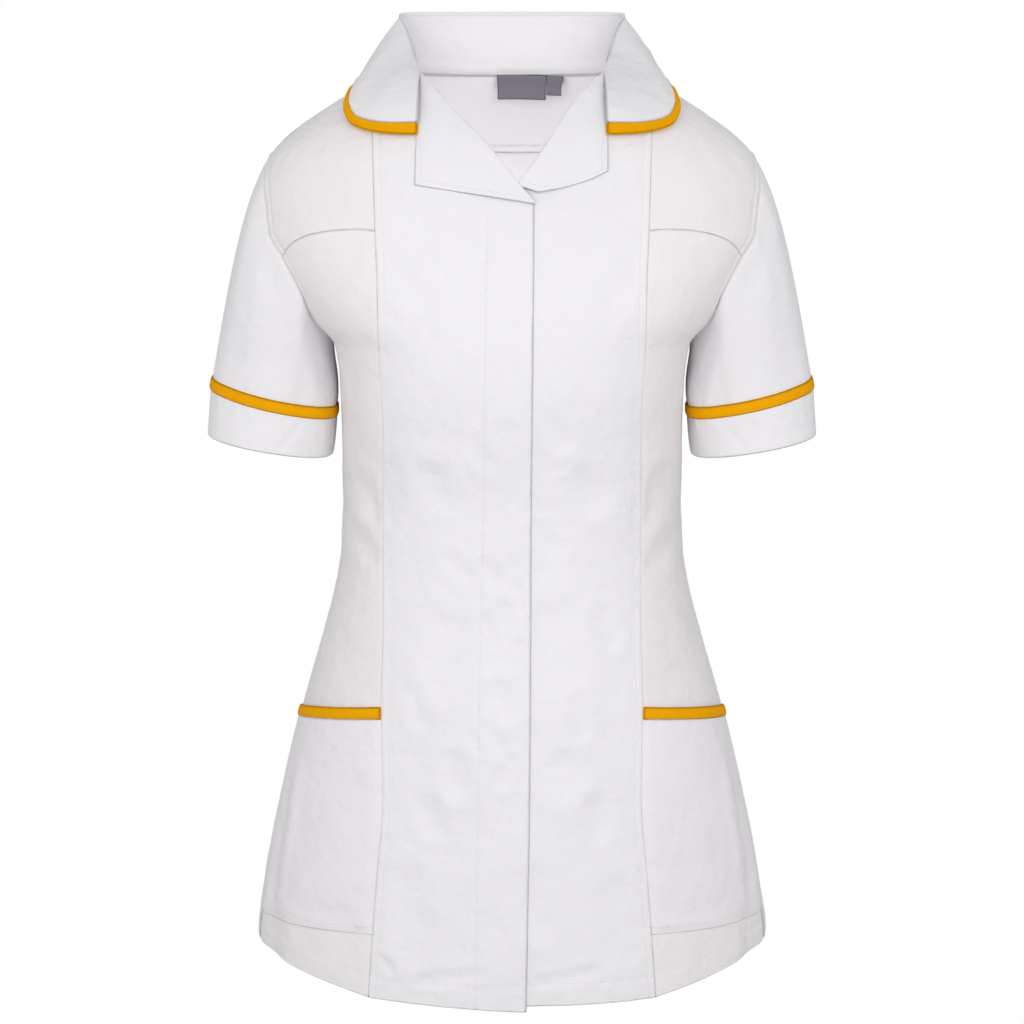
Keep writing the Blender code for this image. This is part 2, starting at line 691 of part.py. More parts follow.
def back_rows():
    """Rows of the centre back from the hem to the neck seam, right seam to left seam."""
    rows = lower_back_rows(BACK_COLUMNS, True)
    heights = [upper_princess_height(number) for number in range(1, len(ARMHOLE))]
    heights += [blend(PRINCESS_TOP, NECK_SIDE, 0.5), NECK_SIDE]
    for height in heights:
        dip = NECK_DIP * ease((height - SHOULDER_TIP) / (NECK_SIDE - SHOULDER_TIP))
        seam = back_princess_turn(height)
        row = []
        for column in range(BACK_COLUMNS + 1):
            turn = blend(seam, 2.0 * math.pi - seam, column / BACK_COLUMNS)
            row.append((turn, height - dip * math.cos(turn) ** 2))
        rows.append(row)
    return rows


def side_back_rows():
    """Rows of the right side back from the hem to the shoulder seam, princess seam to side seam."""
    rows = lower_back_rows(SIDE_BACK_COLUMNS, False)
    for number in range(1, len(ARMHOLE)):
        height = upper_princess_height(number)
        dip = NECK_DIP * ease((height - SHOULDER_TIP) / (NECK_SIDE - SHOULDER_TIP))
        seam = back_princess_turn(height)
        start = (seam, height - dip * math.cos(seam) ** 2)
        rows.append(spread_row(start, armhole_spot(number, False), SIDE_BACK_COLUMNS))
    return rows


def spots_round_back(rows, lift=0.0):
    """Points for rows whose angles run over the back from the right side to the left."""
    grid = []
    for row in rows:
        line = []
        for turn, height in row:
            angle = turn - 2.0 * math.pi if turn > math.pi else turn
            line.append(Spot(*body_point(-angle, height, lift)))
        grid.append(line)
    return grid


def back():
    """Centre back, from the hem to the neck."""
    return cloth_wall("back", open_seams(spots_round_back(back_rows())), WHITE)


def side_back(side_name, side):
    """Side back of one side, which carries the back of the armhole."""
    rows = side_back_rows()
    gaps = vent_gaps([row[-1][1] for row in rows])
    grid = spots_from(rows, side)
    return cloth_wall("side_back_" + side_name, open_seams(grid, last=gaps), WHITE)


def back_neck_facing():
    """Facing inside the back neck, from the neck seam to its stitched lower edge."""
    rows = []
    for step in range(FACING_ROWS + 1):
        t = step / FACING_ROWS
        row = []
        for column in range(BACK_COLUMNS + 1):
            turn = blend(math.pi / 2.0, 1.5 * math.pi, column / BACK_COLUMNS)
            from_shoulder = min(turn - math.pi / 2.0, 1.5 * math.pi - turn)
            reach = ease(math.degrees(from_shoulder) / FACING_SPREAD)
            low = neck_seam_height(turn) - blend(FACING_SHOULDER, FACING_DEPTH, reach)
            row.append((turn, blend(low, neck_seam_height(turn), t)))
        rows.append(row)
    grid = spots_round_back(rows, -(CLOTH + FACING_AIR))
    grid = open_seams(grid, top=FACING_TOP_CLEAR, first=FACING_END_CLEAR, last=FACING_END_CLEAR)
    return cloth_wall("back_neck_facing", grid, WHITE, LABEL_CLOTH)


def neck_labels():
    """Two bare woven labels that hang straight down from the back neck seam, inside the facing."""
    columns = 4
    top = NECK_SIDE - NECK_DIP - LABEL_DROP
    lift = -(CLOTH + FACING_AIR + LABEL_CLOTH + LABEL_AIR)
    for label in LABELS:
        rows = []
        for step in range(3):
            row = []
            for column in range(columns + 1):
                x = blend(label.left, label.right, column / columns)
                hung, normal = body_point(back_angle(x, top), top, lift)
                level_normal = Vector((normal.x, normal.y, 0.0)).normalized()
                drop = Vector((0.0, 0.0, label.length * (1.0 - step / 2.0)))
                row.append(Spot(hung - drop, level_normal))
            rows.append(row)
        cloth_wall(label.name, rows, GREY, LABEL_CLOTH)


# ---------------------------------------------------------------- lapels and collar


def lapel(name, side, shape, roll_at):
    """Lapel folded back on its front, from the gorge to its lower edge."""
    rows = []
    for step in range(LAPEL_ROWS + 1):
        t = step / LAPEL_ROWS
        outer_height = blend(shape.notch[0], shape.corner[0], t)
        outer = (blend(shape.notch[1], shape.corner[1], t), outer_height)
        inner_height = blend(shape.gorge[0], shape.break_height, t)
        inner = (roll_at(inner_height) - LAPEL_CLEAR, inner_height)
        if step == 0:
            inner = (shape.gorge[1], shape.gorge[0])
        if step == LAPEL_ROWS:
            inner = (shape.foot[1], shape.foot[0])
        row = []
        for column in range(LAPEL_COLUMNS + 1):
            u = column / LAPEL_COLUMNS
            height = blend(outer[1], inner[1], u)
            row.append((front_angle(blend(outer[0], inner[0], u), height), height))
        rows.append(row)
    lifts = [CLOTH + LAPEL_STANDOFF + LAPEL_ROLL * ease(column / LAPEL_COLUMNS)
             for column in range(LAPEL_COLUMNS + 1)]
    return cloth_wall(name, moved_out(spots_from(rows, side), [lifts] * len(rows)), WHITE)


def mirrored_line(half):
    """A line given on the wearer's left, from the right front end over the back to the left one."""
    flipped = [Vector((-point.x, point.y, point.z)) for point in half]
    return flipped + [point.copy() for point in reversed(half[:-1])]


def collar_lines():
    """The collar's fold line and outer edge, with the same number of points in each."""
    fold = path_points([Vector(point) for point in FOLD_LINE], COLLAR_COLUMNS)
    edge_spots = []
    for degrees, height in COLLAR_EDGE:
        edge_spots.append(body_point(math.radians(degrees), height, COLLAR_STANDOFF + CLOTH)[0])
    edge = path_points(edge_spots, COLLAR_COLUMNS)
    return fold, edge


def grid_normals(points, ring=False):
    """Spots of a grid of points, each with the direction square to the grid there."""
    rows = len(points)
    columns = len(points[0])
    grid = []
    for row in range(rows):
        line = []
        for column in range(columns):
            before = (column - 1) % columns if ring else max(column - 1, 0)
            after = (column + 1) % columns if ring else min(column + 1, columns - 1)
            across = points[row][after] - points[row][before]
            up = points[min(row + 1, rows - 1)][column] - points[max(row - 1, 0)][column]
            line.append(Spot(points[row][column], across.cross(up).normalized()))
        grid.append(line)
    return grid


def collar_fall_points():
    """Points of the turned-down collar, from its outer edge up to the fold line."""
    fold, edge = collar_lines()
    rows = []
    shares = []
    for number in range(COLLAR_COLUMNS + 1):
        length = (fold[number] - edge[number]).length
        trim_share = TRIM_WIDTH / length
        marks = [0.0, trim_share]
        for step in range(1, COLLAR_ROWS + 1):
            marks.append(blend(trim_share, 1.0, step / COLLAR_ROWS))
        shares.append(marks)
    for step in range(COLLAR_ROWS + 2):
        row = []
        for number in range(COLLAR_COLUMNS + 1):
            share = shares[number][step]
            along = number / COLLAR_COLUMNS
            sideways = edge[number].x * ease(along / BULGE_FORWARD)
            outward = Vector((sideways, edge[number].y, 0.0)).normalized()
            outward = (outward + Vector((0.0, 0.0, BULGE_RISE))).normalized()
            bulge = COLLAR_BULGE_AT(along) * 4.0 * share * (1.0 - share)
            row.append(edge[number].lerp(fold[number], share) + outward * bulge)
        rows.append(mirrored_line(row))
    return rows


def collar_fall_and_trim():
    """The collar's turned-down part and the trim along its outer edge."""
    grid = grid_normals(collar_fall_points())
    fall = open_seams(grid[1:], top=0.0, first=COLLAR_END_CLEAR, last=COLLAR_END_CLEAR)
    cloth_wall("collar_fall", fall, WHITE)
    trim = moved_out(grid[:2], [[TRIM_STANDS] * len(grid[0])] * 2)
    trim = open_seams(trim, bottom=0.0, first=COLLAR_END_CLEAR, last=COLLAR_END_CLEAR)
    cloth_wall("collar_trim", trim, AMBER, BINDING)


def collar_stand():
    """The collar's inner part, from the neck seam up to the fold line."""
    fold = path_points([Vector(point) for point in FOLD_LINE], STAND_STEPS)
    seam_spots = []
    roll_top = RIGHT_ROLL[0]
    for t in (0.0, 0.5, 1.0):
        start = front_angle(roll_top[1], roll_top[0])
        angle = blend(start, math.pi / 2.0, t)
        seam_spots.append(smooth_body(angle, blend(roll_top[0], NECK_SIDE, ease(t))))
    for step in range(1, 7):
        angle = math.pi / 2.0 + math.pi / 2.0 * step / 6.0
        seam_spots.append(smooth_body(angle, neck_seam_height(angle)))
    seam = path_points(seam_spots, STAND_STEPS)
    used = STAND_STEPS - STAND_SKIP
    picked = [STAND_SKIP + round(used * number / STAND_COLUMNS) for number in range(STAND_COLUMNS + 1)]
    rows = []
    for step in range(STAND_ROWS + 1):
        row = []
        for number in picked:
            low = seam[number] + Vector((0.0, 0.0, STAND_CLEAR))
            high = fold[number] - Vector((0.0, 0.0, STAND_DROP))
            inward = Vector((-high.x, -high.y, 0.0)).normalized() * STAND_LEAN
            row.append(low.lerp(high + inward, step / STAND_ROWS))
        rows.append(mirrored_line(row))
    return cloth_wall("collar_stand", grid_normals(rows), WHITE)


# ---------------------------------------------------------------- sleeves


def armhole_loop(side):
    """Points of the armhole from the underarm up the front, over the tip and down the back."""
    last = len(ARMHOLE) - 1
    loop = []
    for number in range(last + 1):
        angle, height = armhole_spot(number, True)
        loop.append(smooth_body(side * angle, height))
    for number in range(last - 1, 0, -1):
        angle, height = armhole_spot(number, False)
        loop.append(smooth_body(side * angle, height))
    return loop


def loop_turns(loop):
    """Turn of each point of the armhole round the sleeve: 0 at the underarm, pi at the tip."""
    half = len(loop) // 2
    closed = loop + [loop[0]]
    lengths = [0.0]
    for a, b in zip(closed, closed[1:]):
        lengths.append(lengths[-1] + (b - a).length)
    front = lengths[half]
    back_length = lengths[-1] - front
    turns = []
    for number in range(len(loop)):
        if number <= half:
            turns.append(math.pi * lengths[number] / front)
        else:
            turns.append(math.pi + math.pi * (lengths[number] - front) / back_length)
    return turns


def sleeve_ring_point(ring, turn, side):
    """Point of one of the sleeve's lower rings."""
    centre = 0.5 * (ring.outer + ring.inner)
    reach = 0.5 * (ring.outer - ring.inner)
    across = -math.cos(turn)
    x = centre + reach * across
    y = -ring.half_depth * math.sin(turn) - SLEEVE_FORWARD
    middle_height = 0.5 * (ring.outer_height + ring.inner_height)
    z = middle_height + 0.5 * (ring.outer_height - ring.inner_height) * across
    z -= ring.dip * max(math.sin(turn), 0.0)
    return Vector((side * x, y, z))


def sleeve_points(side):
    """Rings of the sleeve, from the armhole down to the trim."""
    loop = armhole_loop(side)
    turns = loop_turns(loop)
    tip = loop[len(loop) // 2]
    underarm = loop[0]
    down_the_hole = (underarm - tip).normalized()
    away = Vector((0.0, 1.0, 0.0)).cross(down_the_hole)
    if away.x * side < 0.0:
        away = -away
    hole_height = tip.z - underarm.z
    ring = SLEEVE_RINGS_BELOW[0]
    down = Vector((side * SLEEVE_FLARE, -SLEEVE_LEAN_FORWARD, -1.0)).normalized()
    rows = []
    for step in range(SLEEVE_RINGS + 1):
        t = step / SLEEVE_RINGS
        row = []
        for point, turn in zip(loop, turns):
            start = point + away * SLEEVE_START_GAP
            end = sleeve_ring_point(ring, turn, side)
            high = (point.z - underarm.z) / hole_height
            lean = away * blend(UNDERARM_LEAN, TIP_LEAN, ease(high)) + Vector((0.0, 0.0, -1.0))
            span = (end - start).length
            first = start + lean.normalized() * span * SLEEVE_HEAD_REACH
            second = end - down * span * SLEEVE_HEM_REACH
            row.append(start * (1 - t) ** 3 + first * 3 * t * (1 - t) ** 2
                       + second * 3 * t * t * (1 - t) + end * t ** 3)
        rows.append(row)
    return rows, turns


def facing_out(grid, side):
    """Spots with their directions turned out of the sleeve."""
    if side < 0.0:
        return grid
    return [[Spot(spot.point, -spot.normal) for spot in row] for row in grid]


def ring_wall(name, grid, stand, thickness, finish):
    """A band of cloth round the sleeve, a hair short of its neighbours at both ends."""
    grid = moved_out(grid, [[stand] * len(grid[0])] * len(grid))
    shift = Vector((0.0, 0.0, HALF_GAP))
    grid[0] = [Spot(spot.point - shift, spot.normal) for spot in grid[0]]
    grid[-1] = [Spot(spot.point + shift, spot.normal) for spot in grid[-1]]
    return cloth_wall(name, grid, finish, thickness, ring=True)


def sleeve(side_name, side):
    """Sleeve, its trim and its turned cuff band, cut from one run of rings."""
    rows, turns = sleeve_points(side)
    bottom, hem = SLEEVE_RINGS_BELOW[1:]
    for share in (0.0, 0.5, 1.0):
        upper = [sleeve_ring_point(bottom, turn, side) for turn in turns]
        lower = [sleeve_ring_point(hem, turn, side) for turn in turns]
        rows.append([a.lerp(b, share) for a, b in zip(upper, lower)])
    grid = facing_out(grid_normals(rows, ring=True), side)
    ring_wall("sleeve_" + side_name, grid[:SLEEVE_RINGS + 1], 0.0, CLOTH, WHITE)
    trim_rows = grid[SLEEVE_RINGS:SLEEVE_RINGS + 2]
    ring_wall("sleeve_trim_" + side_name, trim_rows, SLEEVE_TRIM_STANDS, BINDING, AMBER)
    ring_wall("cuff_band_" + side_name, grid[SLEEVE_RINGS + 1:], 0.0, CLOTH, WHITE)


# ---------------------------------------------------------------- pockets


def pocket_wall(name, side, first_level, last_level, thickness, finish):
    """A piece on the side front between two levels, made from the panel's own points moved out."""
    first, last = level_row(first_level), level_row(last_level)
    bottom, mouth = level_row("pocket_bottom"), level_row("pocket_mouth")
    lifts = []
    for row in range(first, last + 1):
        gape = POCKET_GAPE * ease((row - bottom) / (mouth - bottom))
        lifts.append([POCKET_AIR + thickness + gape * math.sin(math.pi * column / SIDE_COLUMNS)
                      for column in range(SIDE_COLUMNS + 1)])
    grid = moved_out(spots_from(side_front_lower_rows()[first:last + 1], side), lifts)
    return cloth_wall(name, open_seams(grid, first=POCKET_EDGE, last=POCKET_EDGE), finish, thickness)


def pocket(side_name, side):
    """Patch pocket and its trimmed mouth."""
    pocket_wall("pocket_" + side_name, side, "pocket_bottom", "pocket_mouth", CLOTH, WHITE)
    pocket_wall("pocket_trim_" + side_name, side, "pocket_mouth", "trim_top", BINDING, AMBER)


# ---------------------------------------------------------------- the garment


def clear_scene():
    """Remove what the scene holds."""
    for item in list(bpy.data.objects):
        bpy.data.objects.remove(item, do_unlink=True)


def build_tunic():
    """Build every piece."""
    clear_scene()
    centre_front("front_right", -1.0)
    centre_front("front_left", 1.0)
    back()
    back_neck_facing()
    neck_labels()
    lapel("lapel_right", -1.0, RIGHT_LAPEL, RIGHT_ROLL_AT)
    lapel("lapel_left", 1.0, LEFT_LAPEL, LEFT_ROLL_AT)
    collar_stand()
    collar_fall_and_trim()
    for side_name, side in SIDES:
        side_fronts(side_name, side)
        side_back(side_name, side)
        sleeve(side_name, side)
        pocket(side_name, side)


build_tunic()
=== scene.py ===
"""Short-sleeved medical tunic, filled out with no wearer: its cloth, seams, stitching and trims.

Metres, +Z up. The front faces -Y and the wearer's left side is +X. Each piece of cloth is a thin
shell on the form of its own solid. Seams, hems, creases and puckers are lifts of that form,
worked out from the distance to the panel's edges.
"""

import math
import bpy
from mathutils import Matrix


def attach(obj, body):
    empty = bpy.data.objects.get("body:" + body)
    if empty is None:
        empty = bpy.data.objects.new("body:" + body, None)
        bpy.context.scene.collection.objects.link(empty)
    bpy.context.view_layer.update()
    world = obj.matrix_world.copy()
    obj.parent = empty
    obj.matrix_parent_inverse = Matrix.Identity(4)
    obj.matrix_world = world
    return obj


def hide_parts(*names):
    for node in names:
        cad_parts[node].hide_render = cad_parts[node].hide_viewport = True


bl_info = {
    "name": "Medical tunic",
    "version": (1, 0, 0),
    "blender": (4, 5, 0),
    "location": "3D View > Sidebar > Tunic",
    "description": "Builds the cloth, trims, labels and stitching of a short-sleeved medical tunic",
    "category": "Add Mesh",
}

from collections import namedtuple

import bpy
import numpy as np

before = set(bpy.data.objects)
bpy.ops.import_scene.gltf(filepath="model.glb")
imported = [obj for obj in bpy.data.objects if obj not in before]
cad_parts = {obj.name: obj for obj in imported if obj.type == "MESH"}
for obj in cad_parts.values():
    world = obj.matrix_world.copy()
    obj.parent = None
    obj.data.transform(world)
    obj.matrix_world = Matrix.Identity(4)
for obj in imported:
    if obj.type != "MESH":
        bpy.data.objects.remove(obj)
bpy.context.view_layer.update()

# ---------------------------------------------------------------- driving dimensions

SIDES = (("right", -1.0), ("left", 1.0))

CLOTH = 0.0012  # thickness of one cloth wall
BINDING = 0.0022  # thickness of the folded contrast trim
LABEL_CLOTH = 0.0010  # thickness of the two woven labels and the neck facing
LAP_GAP = 0.0007  # air between two layers that lie on each other
TRIM_WIDTH = 0.0084  # width of the amber trim

SHOULDER_TIP = -0.075  # height of the armhole's highest point, on the shoulder seam
UNDERARM = -0.222  # height of the armhole's lowest point
PRINCESS_TOP = -0.0165  # height where the princess seam meets the shoulder seam
NECK_SIDE = -0.006  # height of the shoulder points beside the neck
NECK_DIP = 0.0035  # how far the back neck seam dips below them

SIDE_SEAM_SWING = 12.0  # degrees the side seam swings to the front down the skirt
SWING_TOP = -0.40  # height where that swing starts
SWING_LENGTH = 0.30  # length of seam over which it grows
LAP_INNER = 0.020  # distance from the centre up to which the left front is fully sunk
LAP_FADE = 0.028  # width over which it comes up level again


# ---------------------------------------------------------------- tables

Section = namedtuple("Section", "height half_width front back front_square back_square")
SECTIONS = [Section(*row) for row in (
    (NECK_SIDE, 0.0780, 0.0420, 0.0755, 2.00, 2.00),
    (-0.0120, 0.0985, 0.0500, 0.0805, 2.05, 2.05),
    (-0.0165, 0.1120, 0.0550, 0.0830, 2.05, 2.10),
    (-0.0240, 0.1290, 0.0615, 0.0875, 2.10, 2.15),
    (-0.0385, 0.1525, 0.0730, 0.0930, 2.15, 2.20),
    (-0.0505, 0.1695, 0.0810, 0.0965, 2.20, 2.25),
    (-0.0620, 0.1832, 0.0872, 0.0995, 2.25, 2.30),
    (-0.0750, 0.1945, 0.0925, 0.1025, 2.30, 2.35),
    (-0.1030, 0.2050, 0.1005, 0.1080, 2.35, 2.40),
    (-0.1300, 0.2050, 0.1080, 0.1115, 2.45, 2.40),
    (-0.1510, 0.1955, 0.1140, 0.1130, 2.50, 2.40),
    (-0.1710, 0.1830, 0.1195, 0.1140, 2.55, 2.40),
    (-0.2020, 0.1600, 0.1270, 0.1135, 2.60, 2.35),
    (UNDERARM, 0.1430, 0.1292, 0.1120, 2.60, 2.30),
    (-0.2500, 0.1390, 0.1285, 0.1085, 2.55, 2.30),
    (-0.2900, 0.1378, 0.1215, 0.1020, 2.45, 2.25),
    (-0.3450, 0.1372, 0.1120, 0.0965, 2.35, 2.25),
    (-0.3860, 0.1388, 0.1110, 0.0985, 2.30, 2.20),
    (-0.4190, 0.1440, 0.1140, 0.1050, 2.30, 2.20),
    (-0.4590, 0.1544, 0.1190, 0.1150, 2.25, 2.20),
    (-0.5230, 0.1728, 0.1260, 0.1290, 2.20, 2.15),
    (-0.6050, 0.1936, 0.1325, 0.1400, 2.15, 2.10),
    (-0.6740, 0.2070, 0.1360, 0.1455, 2.15, 2.10),
    (-0.7080, 0.2112, 0.1375, 0.1470, 2.15, 2.10),
    (-0.7450, 0.2118, 0.1385, 0.1475, 2.15, 2.10),
)]

# Lines round the body below the armholes, and how many rows of cloth lie above each.
Level = namedtuple("Level", "name right_edge left_edge princess side back rows_above")
LEVELS = (
    Level("hem", -0.7405, -0.7368, -0.7345, -0.7150, -0.7250, 3),
    Level("pocket_bottom", -0.6830, -0.6830, -0.6830, -0.6900, -0.6900, 8),
    Level("pocket_mouth", -0.5110, -0.5110, -0.5110, -0.5295, -0.5295, 1),
    Level("trim_top", -0.5024, -0.5024, -0.5024, -0.5213, -0.5213, 12),
    Level("underarm", UNDERARM, UNDERARM, UNDERARM, UNDERARM, UNDERARM, 0),
)

# Distance of the princess seam from the centre front, down the body.
PRINCESS = (
    (PRINCESS_TOP, 0.1120), (-0.0225, 0.1110), (-0.0590, 0.1084), (-0.1270, 0.1059), (-0.1640, 0.1042),
    (UNDERARM, 0.1033), (-0.2730, 0.1008), (-0.3455, 0.1018), (-0.4470, 0.1021), (-0.4970, 0.1035),
    (-0.5730, 0.1025), (-0.6380, 0.1076), (-0.6830, 0.1111), (-0.7450, 0.1155),
)

# The same on the back.
BACK_PRINCESS = (
    (PRINCESS_TOP, 0.1120), (-0.0225, 0.1108), (-0.0590, 0.1070), (-0.1270, 0.1010), (UNDERARM, 0.0930),
    (-0.2900, 0.0830), (-0.3450, 0.0790), (-0.4190, 0.0840), (-0.5230, 0.0960), (-0.6050, 0.1030),
    (-0.6830, 0.1080), (-0.7450, 0.1110),
)

# The armhole: degrees round the body from the centre front, on the front and on the back.
Armhole = namedtuple("Armhole", "height front_degrees back_degrees")
ARMHOLE = [Armhole(*row) for row in (
    (UNDERARM, 90.0, 90.0),
    (-0.2120, 77.0, 103.0),
    (-0.1970, 68.0, 111.0),
    (-0.1820, 62.0, 115.0),
    (-0.1665, 60.5, 117.0),
    (-0.1510, 60.8, 117.5),
    (-0.1350, 62.8, 116.5),
    (-0.1200, 64.8, 114.5),
    (-0.1060, 67.0, 111.0),
    (-0.0940, 70.5, 106.5),
    (-0.0850, 75.5, 101.5),
    (-0.0790, 82.0, 96.0),
    (SHOULDER_TIP, 90.0, 90.0),
)]
BUST_SEAM_ROW = 5  # row of ARMHOLE where the bust seam meets the armhole
BUST_SEAM_RISE = 0.0085  # how far the bust seam arches above a straight line
ARCH_ROWS = 3  # rows above it over which that arch fades
HEM_RISE = 0.0035  # how far the side front's hem arches above a straight line
ARCH_POWER = 0.8  # below 1 these arches are fuller at their ends than a sine

# Rows of the fronts above the bust seam: heights on the princess seam and on the neck opening.
UpperRow = namedtuple("UpperRow", "princess right_opening left_opening")
UPPER_ROWS = (
    UpperRow(-0.1270, -0.1270, -0.1270),
    UpperRow(-0.1050, -0.1066, -0.1180),
    UpperRow(-0.0830, -0.0800, -0.0850),
    UpperRow(-0.0630, -0.0580, -0.0600),
    UpperRow(-0.0460, -0.0380, -0.0385),
    UpperRow(-0.0320, -0.0215, -0.0215),
    UpperRow(-0.0225, -0.0085, -0.0085),
    UpperRow(PRINCESS_TOP, NECK_SIDE, NECK_SIDE),
)

# The roll line, where each lapel folds back: height, and distance from the centre on its own side.
RIGHT_ROLL = (
    (-0.0085, 0.0724), (-0.0405, 0.0435), (-0.0585, 0.0250), (-0.0929, -0.0046), (-0.1066, -0.0169),
)
LEFT_ROLL = (
    (-0.0085, 0.0724), (-0.0345, 0.0470), (-0.0600, 0.0300), (-0.0929, 0.0052), (-0.1180, -0.0215),
)
RIGHT_EDGE = ((-0.1066, -0.0169), (-0.3450, -0.0150), (-0.5370, -0.0141), (-0.7450, -0.0111))
LEFT_EDGE_REACH = 0.0215  # how far the covered left front runs past the centre

# Lapels, as heights and distances from the centre on their own side. break_height is where a
# lapel ends on its roll line.
Lapel = namedtuple("Lapel", "gorge notch corner break_height")
RIGHT_LAPEL = Lapel((-0.0095, 0.0716), (-0.0535, 0.0735), (-0.0925, 0.0746), -0.1066)
LEFT_LAPEL = Lapel((-0.0095, 0.0716), (-0.0535, 0.0735), (-0.0820, 0.0735), -0.0929)
LAPEL_REACH = -0.0160  # a lapel's inner edge runs no further past the centre than this
GORGE_SHARE = 1.0 / 6.0  # top share of a lapel's inner edge, from the gorge to the roll line
LAPEL_CLEAR = 0.0008  # how far a lapel's inner edge stays off the roll line
LAPEL_STANDOFF = 0.0012  # air under a lapel at its outer edge
LAPEL_ROLL = 0.0012  # more air where it rolls

# The collar's fold line from the roll line's top round to the centre back, on one side.
FOLD_LINE = (
    (0.0726, -0.0290, -0.0070),
    (0.0765, -0.0100, 0.0020),
    (0.0800, 0.0100, 0.0120),
    (0.0850, 0.0280, 0.0258),
    (0.0900, 0.0440, 0.0360),
    (0.0820, 0.0600, 0.0388),
    (0.0600, 0.0720, 0.0393),
    (0.0300, 0.0790, 0.0393),
    (0.0000, 0.0810, 0.0393),
)
# The collar's outer edge where it lies on the body: degrees from the centre front, and height.
COLLAR_EDGE = (
    (24.0, -0.0556), (34.0, -0.0550), (43.5, -0.0508), (50.5, -0.0442), (59.0, -0.0360), (72.0, -0.0260),
    (90.0, -0.0218), (112.0, -0.0240), (135.0, -0.0275), (158.0, -0.0295), (180.0, -0.0300),
)
COLLAR_STANDOFF = 0.0016  # air between the collar's edge and the shoulder
COLLAR_BULGE = ((0.0, 0.0100), (0.20, 0.0060), (0.40, 0.0025), (0.70, 0.0020), (1.0, 0.0030))
BULGE_FORWARD = 0.25  # share of the collar, from its end, that bulges straight forwards
BULGE_RISE = 0.9  # how much of the bulge goes upwards
STAND_SKIP = 3.0 / 24.0  # share of the neck seam and the fold line that the stand leaves free
STAND_LEAN = 0.0035  # how far the stand's top keeps inside the fold line
STAND_DROP = 0.0012  # how far it keeps under it
STAND_CLEAR = 0.0004  # how far the stand's foot keeps above the neck seam

FACING_DEPTH = 0.0640  # depth of the back neck facing at the centre
FACING_SHOULDER = 0.0160  # drop of its lower edge where it meets the shoulder seam
FACING_SPREAD = 50.0  # degrees over which its lower edge comes down to full depth
FACING_AIR = 0.0021  # air between the back and its facing
FACING_ROWS = 6
FACING_TOP_CLEAR = 0.0006  # how far the facing keeps under the neck seam
LABEL_DROP = 0.0010  # how far the labels' tops keep under the neck seam
LABEL_AIR = 0.0010  # air between the facing and the labels at the seam

# Labels, held under the back neck seam: left side, right side and length.
Label = namedtuple("Label", "name left right length")
LABELS = (
    Label("neck_label", -0.0123, 0.0288, 0.0195),
    Label("size_label", 0.0297, 0.0420, 0.0155),
)

# Sleeve: rings of its lower end, as seen from the front: outer and inner reach and heights.
SleeveRing = namedtuple("SleeveRing", "outer inner outer_height inner_height half_depth dip")
TRIM_TOP_RING = SleeveRing(0.2410, 0.1412, -0.2500, -0.2725, 0.0505, 0.0030)
TRIM_BOTTOM_RING = SleeveRing(0.2426, 0.1415, -0.2584, -0.2809, 0.0510, 0.0030)
HEM_RING = SleeveRing(0.2462, 0.1455, -0.2955, -0.3130, 0.0515, 0.0015)
SLEEVE_FORWARD = 0.004  # how far the sleeve's lower end hangs in front of the side
SLEEVE_START_GAP = 0.0005  # clearance of the sleeve's first ring from the armhole
SLEEVE_HEAD_REACH = 0.30  # share of a sleeve line that follows its direction at the armhole
UNDERARM_LEAN = 0.22  # how far that direction leans out at the underarm
TIP_LEAN = 0.75  # the same at the shoulder tip
SLEEVE_FLARE = 0.18  # how far the sleeve leans out as it meets the trim
SLEEVE_LEAN_FORWARD = 0.02  # how far it leans forwards there
SLEEVE_HEM_REACH = 0.36  # share of a sleeve line that follows its direction at the trim
TRIM_STANDS = 0.0007  # how far the collar's trim stands proud of the cloth beside it
SLEEVE_TRIM_STANDS = 0.0015  # the same for a sleeve's trim

POCKET_AIR = 0.0004  # air between a pocket and its panel
POCKET_GAPE = 0.0022  # how far the pocket mouth stands open
VENT_TOP = -0.640  # height where the side vents start
VENT_OPENING = 0.0040  # width of a side vent at the hem

# Soft folds of the skirt and back: degrees, top, bottom, half width in degrees and depth.
Fold = namedtuple("Fold", "degrees top bottom spread depth")
FOLDS = (
    Fold(66.0, -0.560, -0.745, 9.0, -0.0028),
    Fold(122.0, -0.470, -0.745, 13.0, 0.0040),
    Fold(146.0, -0.500, -0.745, 12.0, -0.0040),
    Fold(170.0, -0.440, -0.745, 13.0, 0.0030),
)

# ---------------------------------------------------------------- cloth of the dressed part

# Thickness of the cloth as it is shown: one layer, two layers, collar and lapels, trims and labels.
THIN = 0.0007
DOUBLE = 0.0012
COLLAR_SHOWN = 0.0009
BAND = 0.0018
TAPE = 0.0005

# Spacing of a panel's points, and how many points its length and its width are measured with.
GRID = 0.0025
BACK_GRID = 0.0031
SIDE_BACK_GRID = 0.0030
UPPER_GRID = 0.0016
FACING_GRID = 0.0022
POCKET_GRID = 0.0020
TRIM_GRID = 0.0012
LINE_SAMPLES = 600
WIDTH_SAMPLES = 60

# Steps of points: along and across the collar, round and down a sleeve, its trim and its cuff.
COLLAR_STEPS = 120
COLLAR_ROWS = 30
TRIM_ROWS = 10
SLEEVE_COLUMNS = 156
SLEEVE_ROWS = 76
SLEEVE_TRIM_STEPS = 7
CUFF_STEPS = 20

